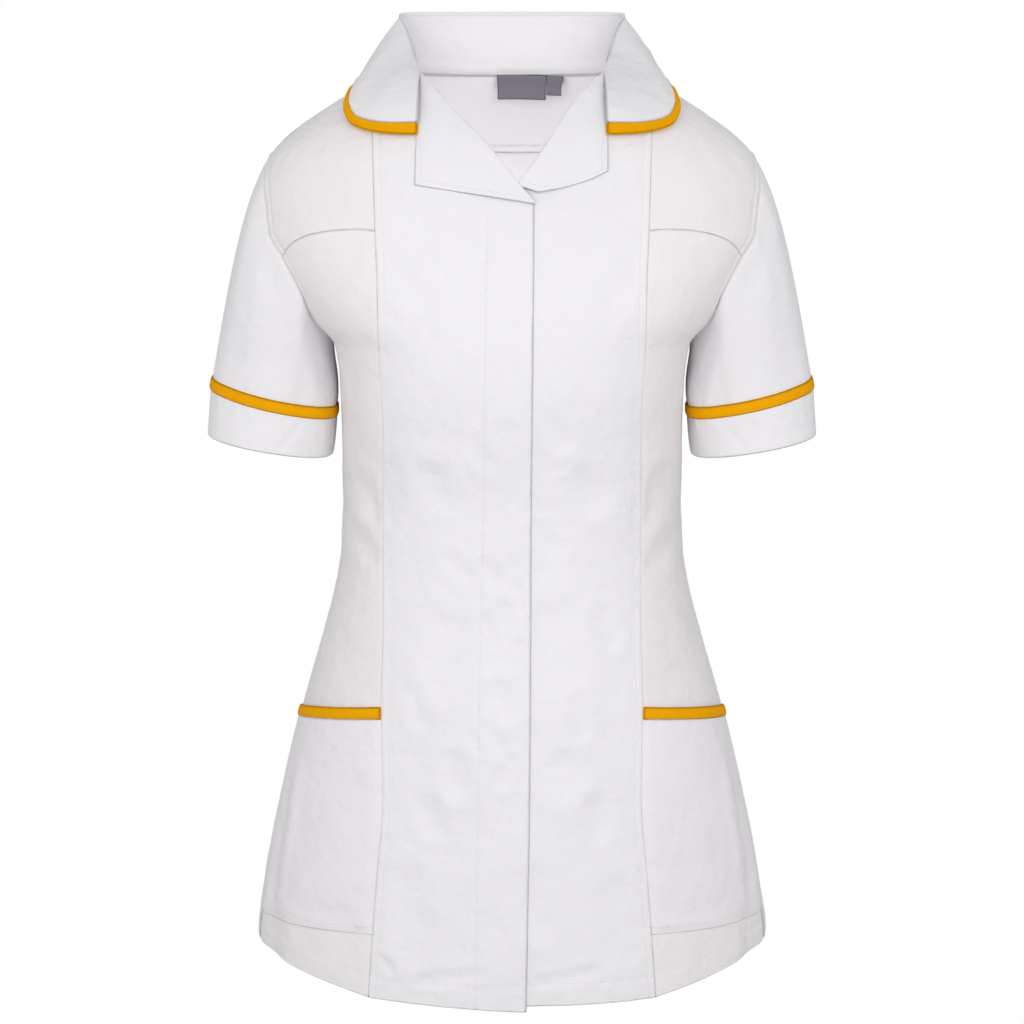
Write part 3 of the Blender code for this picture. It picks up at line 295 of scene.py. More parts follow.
SEAM_GAP = 0.00005  # half of the gap between two sewn edges
TUCK_REACH = 0.0013  # how far an edge runs on under the one that is sewn over it
TUCK_DEPTH = 0.0006  # how far it is sunk there
HEM_TURN = 0.0175  # depth of the hem's turn-up
TURN_FADE = 0.001  # width over which a turned edge thins out to one layer
WELT = 0.0062  # distance from a seam to its topstitching
YOKE_WELT = 0.0050  # the same at the side backs' shoulder seam
EDGE_STITCH = 0.0045  # distance from a collar's, lapel's or vent's edge to its stitching
THREAD = 0.00026  # radius of the sewing thread
TRIM_THREAD = 0.0002
STITCH = 0.0026
STITCH_PITCH = 0.0034  # distance from the start of one stitch to the next
STITCH_SIDES = 4
# A stitch's rings: share of its length, and height and width in thread radii.
STITCH_RINGS = ((0.0, -0.5, 0.35), (0.22, 0.42, 0.95), (0.78, 0.42, 0.95), (1.0, -0.5, 0.35))
STITCH_AIM = 0.0008  # half the length of line that gives a stitch its direction
SMALLEST_CUT = 0.0101  # a trim's cut is a little wider than what shows of it

FLY_TOP = -0.112  # height where the fly's topstitching starts
FLY_FADE = 0.02
FLY_BAND = 0.00025  # how far the fly's double cloth stands up
TACK_LOW = -0.6312  # lower end of the fly's bartack
TACK_HIGH = -0.6228
TACK_SPREAD = 0.0009  # distance of its two rows from the topstitching
HOLE_FADE = 0.006  # height over which the side seam's relief turns into the armhole's
HOLE_CLEAR = 0.003  # how far above the underarm the armhole's stitching starts
WELT_HEIGHT = 0.00055  # how far a welt stands up over its allowances
HEM_STEP = 0.00035  # how far the hem's double band stands up
RELIEF_FADE = 0.002  # width over which a double band's step rises
PUCKER_CLEAR = 0.002  # width of a plain seam's line that has no puckers

CREASE_STRENGTH = 1.9  # how much the creases below are deepened
CREASE_FADE = 0.012  # distance from a sewn edge over which they grow
# The crest beside a crease: its share of the depth, and its place and width in half widths.
CREST_SHARE = 0.35
CREST_AT = 1.7
CREST_WIDTH = 0.7
SLACK_FADE = 0.030  # distance from a sewn edge over which slack grows
# Slack grows below this height, over this length, from this share.
SLACK_TOP = -0.25
SLACK_LENGTH = 0.35
SLACK_LEAST = 0.35

COLLAR_END_OUT = 0.0005  # how far the collar's ends run on past the trim's
COLLAR_END_RISE = 0.0003  # how far the collar's front ends stand up off the lapels
COLLAR_END_SPREAD = 0.014
FOLD_RADIUS = 0.0012
LAPEL_RADIUS = 0.0016
TRIM_UNDER = 0.0009  # how far the trim's outer edge turns under
TRIM_UNDER_WIDTH = 0.008
STAND_RIDGE = 0.0085  # height of the stand's stitched ridge over the neck seam
STAND_RIDGE_RISE = 0.0014  # how far the cloth below it stands in
STAND_STITCH = 0.0018  # height of the stand's lower stitching
STAND_TOP_LEAN = 0.0012  # how far the stand's top is sunk below the fold
STAND_TOP_WIDTH = 0.010
# How the left lapel's lower edge sags below a straight line, from its corner to the roll line.
LAPEL_SAG = ((0.0, 0.0), (0.23, -0.0047), (0.54, -0.0071), (0.76, -0.0073), (0.87, -0.0040), (1.0, 0.0))
FACING_TURN = 0.0060  # width of the neck facing's turned lower edge
FACING_TURN_RISE = 0.0006
FACING_TOP_RISE = 0.0022  # how far the facing's top comes back to the neck seam
FACING_TOP_FADE = 0.012
LABEL_RISE = 0.0036  # how far the labels run on up under the collar
LABEL_SINK = 0.0036  # how far their tops lean back to the neck seam
LABEL_SINK_WIDTH = 0.011

SLEEVE_SQUARE = 0.8  # below 1 the hanging sleeve is flatter in front than an ellipse
SLEEVE_STITCH = 0.0014  # distance of a sleeve or pocket trim's stitching from its edges
COLLAR_STITCH = 0.0016  # the same on the collar's trim
SLEEVE_FOLD_STRENGTH = 1.5  # how much the sleeve's folds below are deepened
SLEEVE_FOLD_FADE = 0.25  # share of the sleeve over which a fold grows at its ends
SLEEVE_FOLD_TURN = 0.10  # how far a fold leans round the sleeve as it goes down

POCKET_STITCH = 0.0055  # distance of the pocket's stitching from its lower edge
POCKET_SEAM_WIDTH = 0.0038
POCKET_FOOT = 0.0012  # how far its lower edge is sunk
POCKET_FOOT_WIDTH = 0.0028
POCKET_TACK_SPREAD = 0.0007  # distance between the rows of the pocket's bartack

FLOOR_HEIGHT = -1.42  # the floor a wearer would stand on
# The camera: sensor in millimetres, and the photograph's width and focal length in pixels.
SENSOR_WIDTH = 36.0
PHOTO_PIXELS = 1024.0
FOCAL_PIXELS = 2852.0
CLOTH_THREADS = 1500.0  # threads in a metre of the white and amber cloth
# Tints of the cloth's colour by piece. It is the same cloth everywhere: the side fronts' darker, warmer tint
# and the pockets' lilac tint are painted shade, for the dim inside showing through the cloth.
CLOTH_PAINTED_SHADE_TINTS = {"centre": (1.0, 1.0, 1.0), "side": (1.0, 0.984, 0.978), "pocket": (1.0, 0.984, 1.0)}

# Valleys where cloth is stitched down, joined or rounded at an edge: depth and width.
Valley = namedtuple("Valley", "depth width")
WELT_VALLEY = Valley(0.00040, 0.0012)
HEM_VALLEY = Valley(0.0005, 0.0012)
FLY_VALLEY = Valley(0.0005, 0.0011)
OPENING_EDGE = Valley(0.0008, 0.0012)
PLAIN_SEAM = Valley(0.00040, 0.0022)
SLEEVE_SEAM = Valley(0.0007, 0.0022)
WELTED_SEAM = Valley(0.00008, 0.0014)
BACK_TOP_EDGE = Valley(0.0006, 0.0015)
COLLAR_EDGE_DIP = Valley(0.0006, 0.0013)
COLLAR_END_DIP = Valley(0.0002, 0.0012)
COLLAR_VALLEY = Valley(0.0003, 0.0010)
COLLAR_TRIM_EDGE = Valley(0.0005, 0.0012)
STAND_VALLEY = Valley(0.0004, 0.0010)
LAPEL_EDGE = Valley(0.0010, 0.0030)
LAPEL_VALLEY = Valley(0.0003, 0.0009)
GORGE_EDGE = Valley(0.0004, 0.0020)
SLEEVE_END = Valley(0.0006, 0.0014)
CUFF_TOP = Valley(0.0005, 0.0013)
CUFF_HEM = Valley(0.0003, 0.0010)
TRIM_EDGE = Valley(0.0006, 0.0013)
POCKET_VALLEY = Valley(0.0003, 0.0011)
LABEL_EDGE = Valley(0.00035, 0.0012)

# Puckers beside a seam: height, length of a wave and how far they spread from it.
Pucker = namedtuple("Pucker", "height length spread")
SEAM_PUCKER = Pucker(0.00030, 0.012, 0.009)
WELT_PUCKER = Pucker(0.00022, 0.009, 0.005)
HEM_PUCKER = Pucker(0.00028, 0.010, 0.010)
FLY_PUCKER = Pucker(0.00018, 0.010, 0.006)
FACING_PUCKER = Pucker(0.00025, 0.012, 0.006)
SLEEVE_PUCKER = Pucker(0.00035, 0.011, 0.006)
CUFF_PUCKER = Pucker(0.0005, 0.016, 0.014)

# Soft waves along the collar: height, length of a wave and width of cloth they run over.
Sway = namedtuple("Sway", "height length width")
FALL_SWAY = Sway(0.0007, 0.052, 0.05)
STAND_SWAY = Sway(0.0017, 0.043, 0.045)

# Folds down a sleeve: turn round it in radians, half width, top and low share, and depth.
SleeveFold = namedtuple("SleeveFold", "turn width top low depth")
SLEEVE_FOLDS = (
    SleeveFold(0.62, 0.20, 0.30, 1.10, 0.0008),
    SleeveFold(1.05, 0.17, 0.55, 1.25, 0.0012),
    SleeveFold(0.28, 0.16, 0.45, 1.20, -0.0008),
    SleeveFold(1.75, 0.30, 0.02, 0.40, 0.0010),
    SleeveFold(4.30, 0.24, 0.25, 1.10, 0.0022),
    SleeveFold(5.20, 0.22, 0.30, 1.15, 0.0020),
    SleeveFold(5.75, 0.18, 0.20, 0.90, 0.0016),
    SleeveFold(2.30, 0.28, 0.60, 1.30, 0.0008),
)

# Dimples of a pocket: place across and up it, half width and half height as shares, and depth.
Dimple = namedtuple("Dimple", "across up half_width half_height depth")
POCKET_DIMPLES = (
    Dimple(0.30, 0.09, 0.16, 0.05, 0.0014),
    Dimple(0.72, 0.16, 0.14, 0.06, 0.0012),
)

# Distance of the fly's topstitching from the opening edge, down the right front.
FLY = ((-0.7450, 0.0400), (-0.5500, 0.0405), (-0.4200, 0.0385), (-0.3000, 0.0366), (-0.1100, 0.0360))

# Soft creases: a line's two ends (x, z), its half width and its depth.
FRONT_CREASES = (
    (-0.064, -0.318, -0.058, -0.332, 0.011, 0.001), (0.058, -0.322, 0.064, -0.332, 0.011, 0.001),
    (-0.006, -0.425, -0.014, -0.462, 0.009, 0.0011), (-0.01, -0.484, -0.006, -0.502, 0.008, 0.001),
    (0.03, -0.43, 0.04, -0.47, 0.014, 0.0009), (-0.05, -0.44, -0.058, -0.48, 0.014, 0.0009),
    (-0.046, -0.542, -0.042, -0.56, 0.009, 0.0012), (-0.066, -0.58, -0.06, -0.592, 0.009, 0.001),
    (0.04, -0.545, 0.044, -0.56, 0.01, 0.0011), (0.064, -0.578, 0.068, -0.592, 0.01, 0.0011),
    (0.012, -0.64, 0.02, -0.668, 0.012, 0.0008), (-0.084, -0.64, -0.078, -0.69, 0.013, 0.0009),
    (0.08, -0.65, 0.086, -0.69, 0.013, 0.0008), (-0.072, -0.717, -0.024, -0.7095, 0.005, 0.0006),
    (0.024, -0.717, 0.064, -0.709, 0.005, 0.0006), (-0.103, -0.703, -0.096, -0.709, 0.004, 0.0008),
    (-0.02, -0.388, -0.013, -0.4, 0.006, 0.0008), (0.004, -0.405, 0.007, -0.418, 0.005, 0.0008),
    (-0.022, -0.43, -0.018, -0.448, 0.0055, 0.0009), (0.003, -0.45, -0.001, -0.465, 0.005, 0.0008),
    (-0.016, -0.515, -0.01, -0.53, 0.006, 0.0008), (-0.002, -0.54, -0.008, -0.556, 0.0055, 0.0007),
    (0.02, -0.36, 0.034, -0.372, 0.007, 0.0007), (-0.048, -0.385, -0.036, -0.394, 0.007, 0.0007),
    (0.07, -0.43, 0.078, -0.448, 0.007, 0.0007), (-0.08, -0.49, -0.072, -0.508, 0.0075, 0.0008),
    (0.048, -0.495, 0.056, -0.515, 0.0075, 0.0008), (-0.028, -0.29, -0.018, -0.306, 0.007, 0.0006),
    (0.03, -0.275, 0.038, -0.29, 0.007, 0.0006), (-0.03, -0.138, -0.02, -0.146, 0.005, 0.0006),
    (-0.094, -0.15, -0.07, -0.178, 0.01, 0.0007), (0.098, -0.15, 0.076, -0.182, 0.01, 0.0007),
    (-0.118, -0.33, -0.104, -0.352, 0.01, 0.001), (0.12, -0.325, 0.106, -0.35, 0.01, 0.001),
    (-0.122, -0.372, -0.108, -0.386, 0.009, 0.0009), (0.124, -0.378, 0.11, -0.392, 0.009, 0.0009),
)
BACK_CREASES = (
    (-0.06, -0.318, 0.014, -0.33, 0.011, 0.0018), (0.066, -0.336, -0.004, -0.352, 0.011, 0.002),
    (-0.07, -0.356, -0.012, -0.366, 0.01, 0.0014), (0.052, -0.3, 0.078, -0.292, 0.012, 0.0012),
    (-0.1, -0.2, -0.062, -0.25, 0.014, 0.0016), (0.102, -0.196, 0.064, -0.252, 0.014, 0.0016),
    (0.02, -0.12, 0.044, -0.17, 0.018, 0.0009), (-0.028, -0.13, -0.046, -0.186, 0.018, 0.0009),
    (-0.03, -0.5, -0.044, -0.64, 0.016, 0.0013), (0.034, -0.52, 0.046, -0.655, 0.016, 0.0012),
    (0.0, -0.6, 0.006, -0.7, 0.014, 0.0009),
)


def smooth_curve(knots):
    """A smooth curve without overshoot through (place, value) knots, for arrays of places."""
    knots = sorted(knots)
    places = np.array([knot[0] for knot in knots])
    values = np.array([knot[1] for knot in knots])
    spans = np.diff(places)
    slopes = np.diff(values) / spans
    before, after = slopes[:-1], slopes[1:]
    total = np.where(before * after > 0.0, before + after, 1.0)
    middle = np.where(before * after > 0.0, 2.0 * before * after / total, 0.0)
    tangents = np.concatenate([slopes[:1], middle, slopes[-1:]])

    def value_at(place):
        place = np.clip(place, places[0], places[-1])
        index = np.clip(np.searchsorted(places, place) - 1, 0, len(spans) - 1)
        span = spans[index]
        t = (place - places[index]) / span
        flat = values[index] * (1.0 + 2.0 * t) * (1.0 - t) ** 2
        flat = flat + values[index + 1] * t * t * (3.0 - 2.0 * t)
        return flat + span * (tangents[index] * t * (1.0 - t) ** 2 - tangents[index + 1] * t * t * (1.0 - t))

    return value_at


HALF_WIDTH = smooth_curve([(row.height, row.half_width) for row in SECTIONS])
FRONT_DEPTH = smooth_curve([(row.height, row.front) for row in SECTIONS])
BACK_DEPTH = smooth_curve([(row.height, row.back) for row in SECTIONS])
FRONT_SQUARE = smooth_curve([(row.height, row.front_square) for row in SECTIONS])
BACK_SQUARE = smooth_curve([(row.height, row.back_square) for row in SECTIONS])
PRINCESS_AT = smooth_curve(PRINCESS)
BACK_PRINCESS_AT = smooth_curve(BACK_PRINCESS)
RIGHT_ROLL_AT = smooth_curve(RIGHT_ROLL)
LEFT_ROLL_AT = smooth_curve(LEFT_ROLL)
RIGHT_EDGE_AT = smooth_curve(RIGHT_EDGE)
COLLAR_BULGE_AT = smooth_curve(COLLAR_BULGE)
LAPEL_SAG_AT = smooth_curve(LAPEL_SAG)
FLY_AT = smooth_curve(FLY)


def blend(a, b, t):
    """Value a fraction t of the way from a to b."""
    return a + (b - a) * t


def ease(t):
    """Smooth step from 0 to 1."""
    t = np.clip(t, 0.0, 1.0)
    return t * t * (3.0 - 2.0 * t)


def unit(vectors):
    """Vectors at length 1."""
    return vectors / np.maximum(np.linalg.norm(vectors, axis=-1, keepdims=True), 1e-12)


def smooth_step(before, start, end, after, t):
    """Points from start to end on a smooth line that comes from before and goes on to after."""
    return 0.5 * (2.0 * start + (end - before) * t
                  + (2.0 * before - 5.0 * start + 4.0 * end - after) * t * t
                  + (3.0 * start - before - 3.0 * end + after) * t ** 3)


def spline(points, steps=24):
    """Fine points of a smooth line through the points."""
    points = np.asarray(points, dtype=float)
    padded = np.concatenate([points[:1], points, points[-1:]])
    t = np.linspace(0.0, 1.0, steps, endpoint=False)[:, None]
    parts = [smooth_step(*padded[index:index + 4], t) for index in range(len(points) - 1)]
    return np.concatenate(parts + [points[-1:]])


def lengths_of(points):
    """Distance run along a line of points, from its start."""
    steps = np.linalg.norm(np.diff(points, axis=0), axis=1)
    return np.concatenate([[0.0], np.cumsum(steps)])


def points_at(wanted, places, points):
    """Points between known ones, which lie at the given places."""
    return np.stack([np.interp(wanted, places, points[:, axis]) for axis in range(3)], axis=-1)


def along_line(points, shares):
    """Points at fractions of a line's length."""
    run = lengths_of(points)
    return points_at(np.asarray(shares) * run[-1], run, points)


# ---------------------------------------------------------------- the body's form


def fold_lift(angle, height):
    """How far the soft folds move the cloth out of its smooth form."""
    degrees = np.degrees(np.abs(angle))
    lift = np.zeros_like(degrees)
    for fold in FOLDS:
        across = np.minimum(np.abs(degrees - fold.degrees) / fold.spread, 1.0)
        down = ease((fold.top - height) / (fold.top - fold.bottom))
        lift = lift + fold.depth * down * (0.5 + 0.5 * np.cos(math.pi * across))
    return lift


def smooth_body(angle, height):
    """Points of the body's form at angles from the centre front, positive to the wearer's left."""
    angle, height = np.broadcast_arrays(np.asarray(angle, dtype=float), np.asarray(height, dtype=float))
    on_front = np.abs(angle) <= math.pi / 2.0
    depth = np.where(on_front, FRONT_DEPTH(height), BACK_DEPTH(height))
    square = np.where(on_front, FRONT_SQUARE(height), BACK_SQUARE(height))
    sine, cosine = np.sin(angle), np.cos(angle)
    reach = (np.abs(sine) ** square + np.abs(cosine) ** square) ** (-1.0 / square)
    return np.stack([HALF_WIDTH(height) * sine * reach, -depth * cosine * reach, height], axis=-1)


def body_normal(angle, height):
    """Directions out of the body's form."""
    step = 0.004
    around = smooth_body(angle + step, height) - smooth_body(angle - step, height)
    upper = smooth_body(angle, np.minimum(height + step, SECTIONS[0].height))
    lower = smooth_body(angle, np.maximum(height - step, SECTIONS[-1].height))
    return unit(np.cross(around, upper - lower))


def body_point(angle, height, lift=0.0):
    """Points of the cloth's outer face, moved out by lift, and the directions out of it."""
    normal = body_normal(angle, height)
    return smooth_body(angle, height) + normal * (lift + fold_lift(angle, height))[..., None], normal


def turn_at(distance, height, square):
    """Angle between the middle of the front or back and the form's points at a distance from it."""
    share = np.minimum(np.abs(distance) / HALF_WIDTH(height), 0.999999) ** square
    return np.arctan((share / (1.0 - share)) ** (1.0 / square))


def front_angle(distance, height):
    """Angle on the front at a distance from the centre."""
    return np.copysign(turn_at(distance, height, FRONT_SQUARE(height)), distance)


def back_angle(distance, height):
    """Angle on the back at a distance from the centre."""
    return np.copysign(math.pi - turn_at(distance, height, BACK_SQUARE(height)), distance)


def princess_angle(height):
    """Angle of the front princess seam."""
    on_seam = front_angle(PRINCESS_AT(height), height)
    return np.where(height >= PRINCESS_TOP, math.pi / 2.0, on_seam)


def back_princess_turn(height):
    """Angle of the back princess seam."""
    on_seam = back_angle(BACK_PRINCESS_AT(height), height)
    return np.where(height >= PRINCESS_TOP, math.pi / 2.0, on_seam)


def side_angle(height):
    """Angle of the side seam, which swings a little to the front in the skirt."""
    return np.radians(90.0 - SIDE_SEAM_SWING * ease((SWING_TOP - height) / SWING_LENGTH))


def row_values(values, v):
    """A row table's value at row numbers that needn't be whole."""
    return np.interp(v, np.arange(len(values)), values)


def lower_heights(seam):
    """Heights of the rows from the hem to the underarm at one seam."""
    values = []
    for level, above in zip(LEVELS, LEVELS[1:]):
        for step in range(level.rows_above):
            values.append(blend(getattr(level, seam), getattr(above, seam), step / level.rows_above))
    return values + [getattr(LEVELS[-1], seam)]


def level_row(name):
    """Number of the row that lies on a named level."""
    count = 0
    for level in LEVELS:
        if level.name == name:
            return count
        count += level.rows_above
    raise ValueError(name)


UNDERARM_ROW = level_row("underarm")
ARMHOLE_TIP = len(ARMHOLE) - 1


def armhole_at(number):
    """Angle and height of the armhole at a number: 0 underarm, 12 tip by the front, 24 underarm again."""
    loop = [(row.front_degrees, row.height) for row in ARMHOLE]
    loop += [(row.back_degrees, row.height) for row in ARMHOLE[-2:0:-1]]
    loop = np.array(loop)
    count = len(loop)
    number = np.asarray(number, dtype=float)
    index = np.floor(number).astype(int)
    t = (number - index)[..., None]
    place = smooth_step(*[loop[(index + shift) % count] for shift in (-1, 0, 1, 2)], t)
    return np.radians(place[..., 0]), place[..., 1]


# ---------------------------------------------------------------- where each panel's points lie


def lap_sink(distance):
    """How far the left front is sunk under the right one, at a distance left of the centre."""
    return (CLOTH + LAP_GAP) * (1.0 - ease((distance - LAP_INNER) / LAP_FADE))


def centre_front_place(side):
    """Map of a centre front: u from its opening edge to the princess seam, v in rows from the hem."""
    inner_steps = [blend(UNDERARM, UPPER_ROWS[0].princess, step / BUST_SEAM_ROW)
                   for step in range(1, BUST_SEAM_ROW)]
    upper = [row.right_opening if side < 0.0 else row.left_opening for row in UPPER_ROWS]
    opening = lower_heights("right_edge" if side < 0.0 else "left_edge") + inner_steps + upper
    seam = lower_heights("princess") + inner_steps + [row.princess for row in UPPER_ROWS]
    roll_at = RIGHT_ROLL_AT if side < 0.0 else LEFT_ROLL_AT
    roll_foot = (RIGHT_ROLL if side < 0.0 else LEFT_ROLL)[-1][0]
    last = len(opening) - 2

    def place(u, v):
        start_height = row_values(opening, v)
        end_height = row_values(seam, v)
        edge = RIGHT_EDGE_AT(start_height) if side < 0.0 else np.full_like(start_height, -LEFT_EDGE_REACH)
        reach = np.where(start_height > roll_foot, roll_at(start_height), edge)
        start = front_angle(reach, start_height)
        corner = front_angle(roll_at(opening[last]), opening[last])
        start = np.where(v > last, blend(corner, math.pi / 2.0, np.clip(v - last, 0.0, 1.0)), start)
        return blend(start, princess_angle(end_height), u), blend(start_height, end_height, u)

    return place, len(opening) - 1


def arch(u):
    """A line's arch from 0 at both ends to 1 in its middle."""
    return np.maximum(np.sin(math.pi * u), 0.0) ** ARCH_POWER


def side_front_lower_place():
    """Map of the lower side front: u from the princess seam to the side seam or armhole."""
    steps = range(1, BUST_SEAM_ROW + 1)
    top = [blend(UNDERARM, UPPER_ROWS[0].princess, step / BUST_SEAM_ROW) for step in steps]
    seam = lower_heights("princess") + top
    side_seam = lower_heights("side")

    def place(u, v):
        start_height = row_values(seam, v)
        hole_angle, hole_height = armhole_at(np.clip(v - UNDERARM_ROW, 0.0, BUST_SEAM_ROW))
        side_height = row_values(side_seam, v)
        above = v > UNDERARM_ROW
        end_height = np.where(above, hole_height, side_height)
        end = np.where(above, hole_angle, side_angle(side_height))
        rise = HEM_RISE * ease(1.0 - v / LEVELS[0].rows_above)
        rise = rise + BUST_SEAM_RISE * ease((v - UNDERARM_ROW) / BUST_SEAM_ROW)
        height = blend(start_height, end_height, u) + rise * arch(u)
        return blend(princess_angle(start_height), end, u), height

    return place, UNDERARM_ROW + BUST_SEAM_ROW


def side_front_upper_place():
    """Map of the upper side front, from the bust seam to the shoulder seam."""
    seam = [row.princess for row in UPPER_ROWS]

    def place(u, v):
        start_height = row_values(seam, v)
        end, end_height = armhole_at(BUST_SEAM_ROW + v)
        rise = BUST_SEAM_RISE * ease(1.0 - v / ARCH_ROWS) * arch(u)
        return blend(princess_angle(start_height), end, u), blend(start_height, end_height, u) + rise

    return place, len(UPPER_ROWS) - 1


def back_height(turn, side, side_height, centre_height):
    """Height of a row at a turn round the back: it dips in a smooth arc from side seam to side seam."""
    share = (turn - side) / (2.0 * math.pi - 2.0 * side)
    return blend(side_height, centre_height, np.sin(math.pi * share) ** 2)


def back_row(v):
    """Start of a back row on the right princess seam, and the side seam's and centre's facts."""
    side_height = row_values(lower_heights("side"), v)
    centre_height = row_values(lower_heights("back"), v)
    side = side_angle(side_height)
    height = blend(side_height, centre_height, 0.75)   # a first guess, which the loop settles
    for _step in range(4):
        height = back_height(back_princess_turn(height), side, side_height, centre_height)
    return back_princess_turn(height), side, side_height, centre_height


def upper_back_height(v):
    """Height of the rows above the underarm where they cross the back princess seam."""
    knots = [blend(UNDERARM, PRINCESS_TOP, (row.height - UNDERARM) / (SHOULDER_TIP - UNDERARM))
             for row in ARMHOLE]
    return row_values(knots + [blend(PRINCESS_TOP, NECK_SIDE, 0.5), NECK_SIDE], v - UNDERARM_ROW)


def neck_dip(turn, height):
    """How far a row dips towards the centre back near the neck."""
    dip = NECK_DIP * ease((height - SHOULDER_TIP) / (NECK_SIDE - SHOULDER_TIP))
    return dip * np.cos(turn) ** 2


def back_place():
    """Map of the centre back, from one princess seam round the centre to the other."""
    def place(u, v):
        seam, side, side_height, centre_height = back_row(np.minimum(v, UNDERARM_ROW))
        upper = upper_back_height(v)
        above = v > UNDERARM_ROW
        seam = np.where(above, back_princess_turn(upper), seam)
        turn = blend(seam, 2.0 * math.pi - seam, u)
        height = back_height(turn, side, side_height, centre_height)
        height = np.where(above, upper - neck_dip(turn, upper), height)
        return np.where(turn > math.pi, 2.0 * math.pi - turn, -turn), height

    return place, UNDERARM_ROW + ARMHOLE_TIP + 2


def side_back_place():
    """Map of the side back, from the princess seam to the side seam or armhole."""
    def place(u, v):
        seam, side, side_height, centre_height = back_row(np.minimum(v, UNDERARM_ROW))
        upper = upper_back_height(v)
        above = v > UNDERARM_ROW
        hole_angle, hole_height = armhole_at(2 * ARMHOLE_TIP - np.clip(v - UNDERARM_ROW, 0.0, ARMHOLE_TIP))
        seam = np.where(above, back_princess_turn(upper), seam)
        turn = blend(seam, np.where(above, hole_angle, side), u)
        height = back_height(turn, side, side_height, centre_height)
        start = upper - neck_dip(seam, upper)
        return turn, np.where(above, blend(start, hole_height, u), height)

    return place, UNDERARM_ROW + ARMHOLE_TIP


# ---------------------------------------------------------------- panels


class Cloth:
    """A grid of points of cloth with its directions and the distances to its four edges."""

    def __init__(self, points, normals, ring=False):
        self.points = points
        self.normals = normals
        self.ring = ring
        across = np.linalg.norm(np.diff(points, axis=1), axis=2)
        up = np.linalg.norm(np.diff(points, axis=0), axis=2)
        zero_row, zero_column = np.zeros((1, points.shape[1])), np.zeros((points.shape[0], 1))
        self.first = np.concatenate([zero_column, np.cumsum(across, axis=1)], axis=1)
        self.last = self.first[:, -1:] - self.first
        self.bottom = np.concatenate([zero_row, np.cumsum(up, axis=0)])
        self.top = self.bottom[-1:] - self.bottom
        self.home = points.copy()

    def lift(self, amount):
        """Move the cloth out along its own directions."""
        self.points = self.points + self.normals * np.broadcast_to(amount, self.first.shape)[..., None]
        return self

    def flat(self):
        """Width, length and area of the cut that this piece of cloth shows."""
        a, b, c, d = self.home[:-1, :-1], self.home[:-1, 1:], self.home[1:, 1:], self.home[1:, :-1]
        area = 0.5 * np.linalg.norm(np.cross(c - a, d - b), axis=2).sum()
        width, length = self.first[:, -1].max(), self.bottom[-1].max()
        if self.ring:
            join = np.linalg.norm(self.home[:, 0] - self.home[:, -1], axis=1)
            width += join.max()
            area += float(np.sum(0.5 * (join[1:] + join[:-1]) * np.diff(self.bottom[:, 0])))
        return float(width), float(length), float(min(area, width * length))


def panel(place, high, side, spacing=GRID, edge_gaps=None, lift=None, low=0.0):
    """Cloth of a body panel between two rows, its points about evenly spaced."""
    fine = np.linspace(low, high, LINE_SAMPLES)
    middle, _normal = body_point(*place(np.full_like(fine, 0.5), fine))
    run = lengths_of(middle)
    count = max(int(run[-1] / spacing), 3)
    even = np.linspace(0.0, run[-1], count + 1)
    even[0] += SEAM_GAP
    even[-1] -= SEAM_GAP
    v = np.interp(even, run, fine)
    u = np.linspace(0.0, 1.0, WIDTH_SAMPLES)
    coarse, _normal = body_point(*place(u[None, :], v[:, None]))
    widths = np.linalg.norm(np.diff(coarse, axis=1), axis=2).sum(axis=1)
    columns = max(int(widths.max() / spacing), 4)
    u = np.linspace(0.0, 1.0, columns + 1)[None, :]
    end_gap = SEAM_GAP if edge_gaps is None else edge_gaps(place(np.ones_like(v), v)[1])
    start = (SEAM_GAP / widths)[:, None]
    end = (end_gap / widths)[:, None]
    u = start + (1.0 - start - end) * u
    angle, height = place(u, np.broadcast_to(v[:, None], u.shape))
    points, normals = body_point(side * angle, height)
    cloth = Cloth(points, normals)
    if lift is not None:
        cloth.lift(lift(cloth))
        cloth.home = cloth.points.copy()
    return cloth


def vent_gap(height):
    """Gap at the side seam, which opens into a vent near the hem."""
    opened = ease((VENT_TOP - height) / (VENT_TOP - LEVELS[0].side))
    return SEAM_GAP + 0.5 * VENT_OPENING * opened


def ripple(run, seed, length):
    """Uneven waves along a line, between about -1 and 1."""
    wave = np.sin(2.0 * math.pi * run / length + seed)
    wave = wave + 0.7 * np.sin(2.0 * math.pi * run / (length * 1.73) + 2.3 * seed + 1.0)
    wave = wave + 0.5 * np.sin(2.0 * math.pi * run / (length * 0.61) + 4.1 * seed)
    strength = 0.55 + 0.45 * np.sin(2.0 * math.pi * run / (length * 7.3) + 1.7 * seed)
    return wave / 2.2 * strength


def close_to(distance, width):
    """1 at a distance of 0, fading to 0 in a soft bell."""
    return np.exp(-(distance / width) ** 2)


def dip(distance, valley):
    """A soft valley centred on a distance of 0."""
    return -valley.depth * close_to(distance, valley.width)


def puckers(distance, run, seed, pucker):
    """Uneven waves along a line, which fade away from a distance of 0."""
    return pucker.height * ripple(run, seed, pucker.length) * close_to(distance, pucker.spread)


def step_at(distance, end, fade):
    """1 up to a distance and 0 past it, with a fade centred on it."""
    return 1.0 - ease((distance - end + 0.5 * fade) / fade)


def doubled(distance, depth):
    """1 where cloth is turned back, up to a depth from its edge, and 0 past it."""
    return 1.0 - ease((distance - depth) / TURN_FADE)


def plain_seam(distance, run, seed, valley=PLAIN_SEAM):
    """Cloth that dips into a sewn seam, with small puckers beside it."""
    pucker = puckers(distance, run, seed, SEAM_PUCKER) * (1.0 - close_to(distance, PUCKER_CLEAR))
    return dip(distance, valley) + pucker


def welted_seam(distance, run, seed, at=WELT):
    """Cloth that dips into a seam, stands up over its allowances and dips at the topstitching."""
    welt = WELT_HEIGHT * np.exp(-((distance - 0.5 * at) / (0.34 * at)) ** 4)
    pucker = puckers(distance - at, run, seed, WELT_PUCKER)
    return dip(distance, WELTED_SEAM) + welt + dip(distance - at, WELT_VALLEY) + pucker


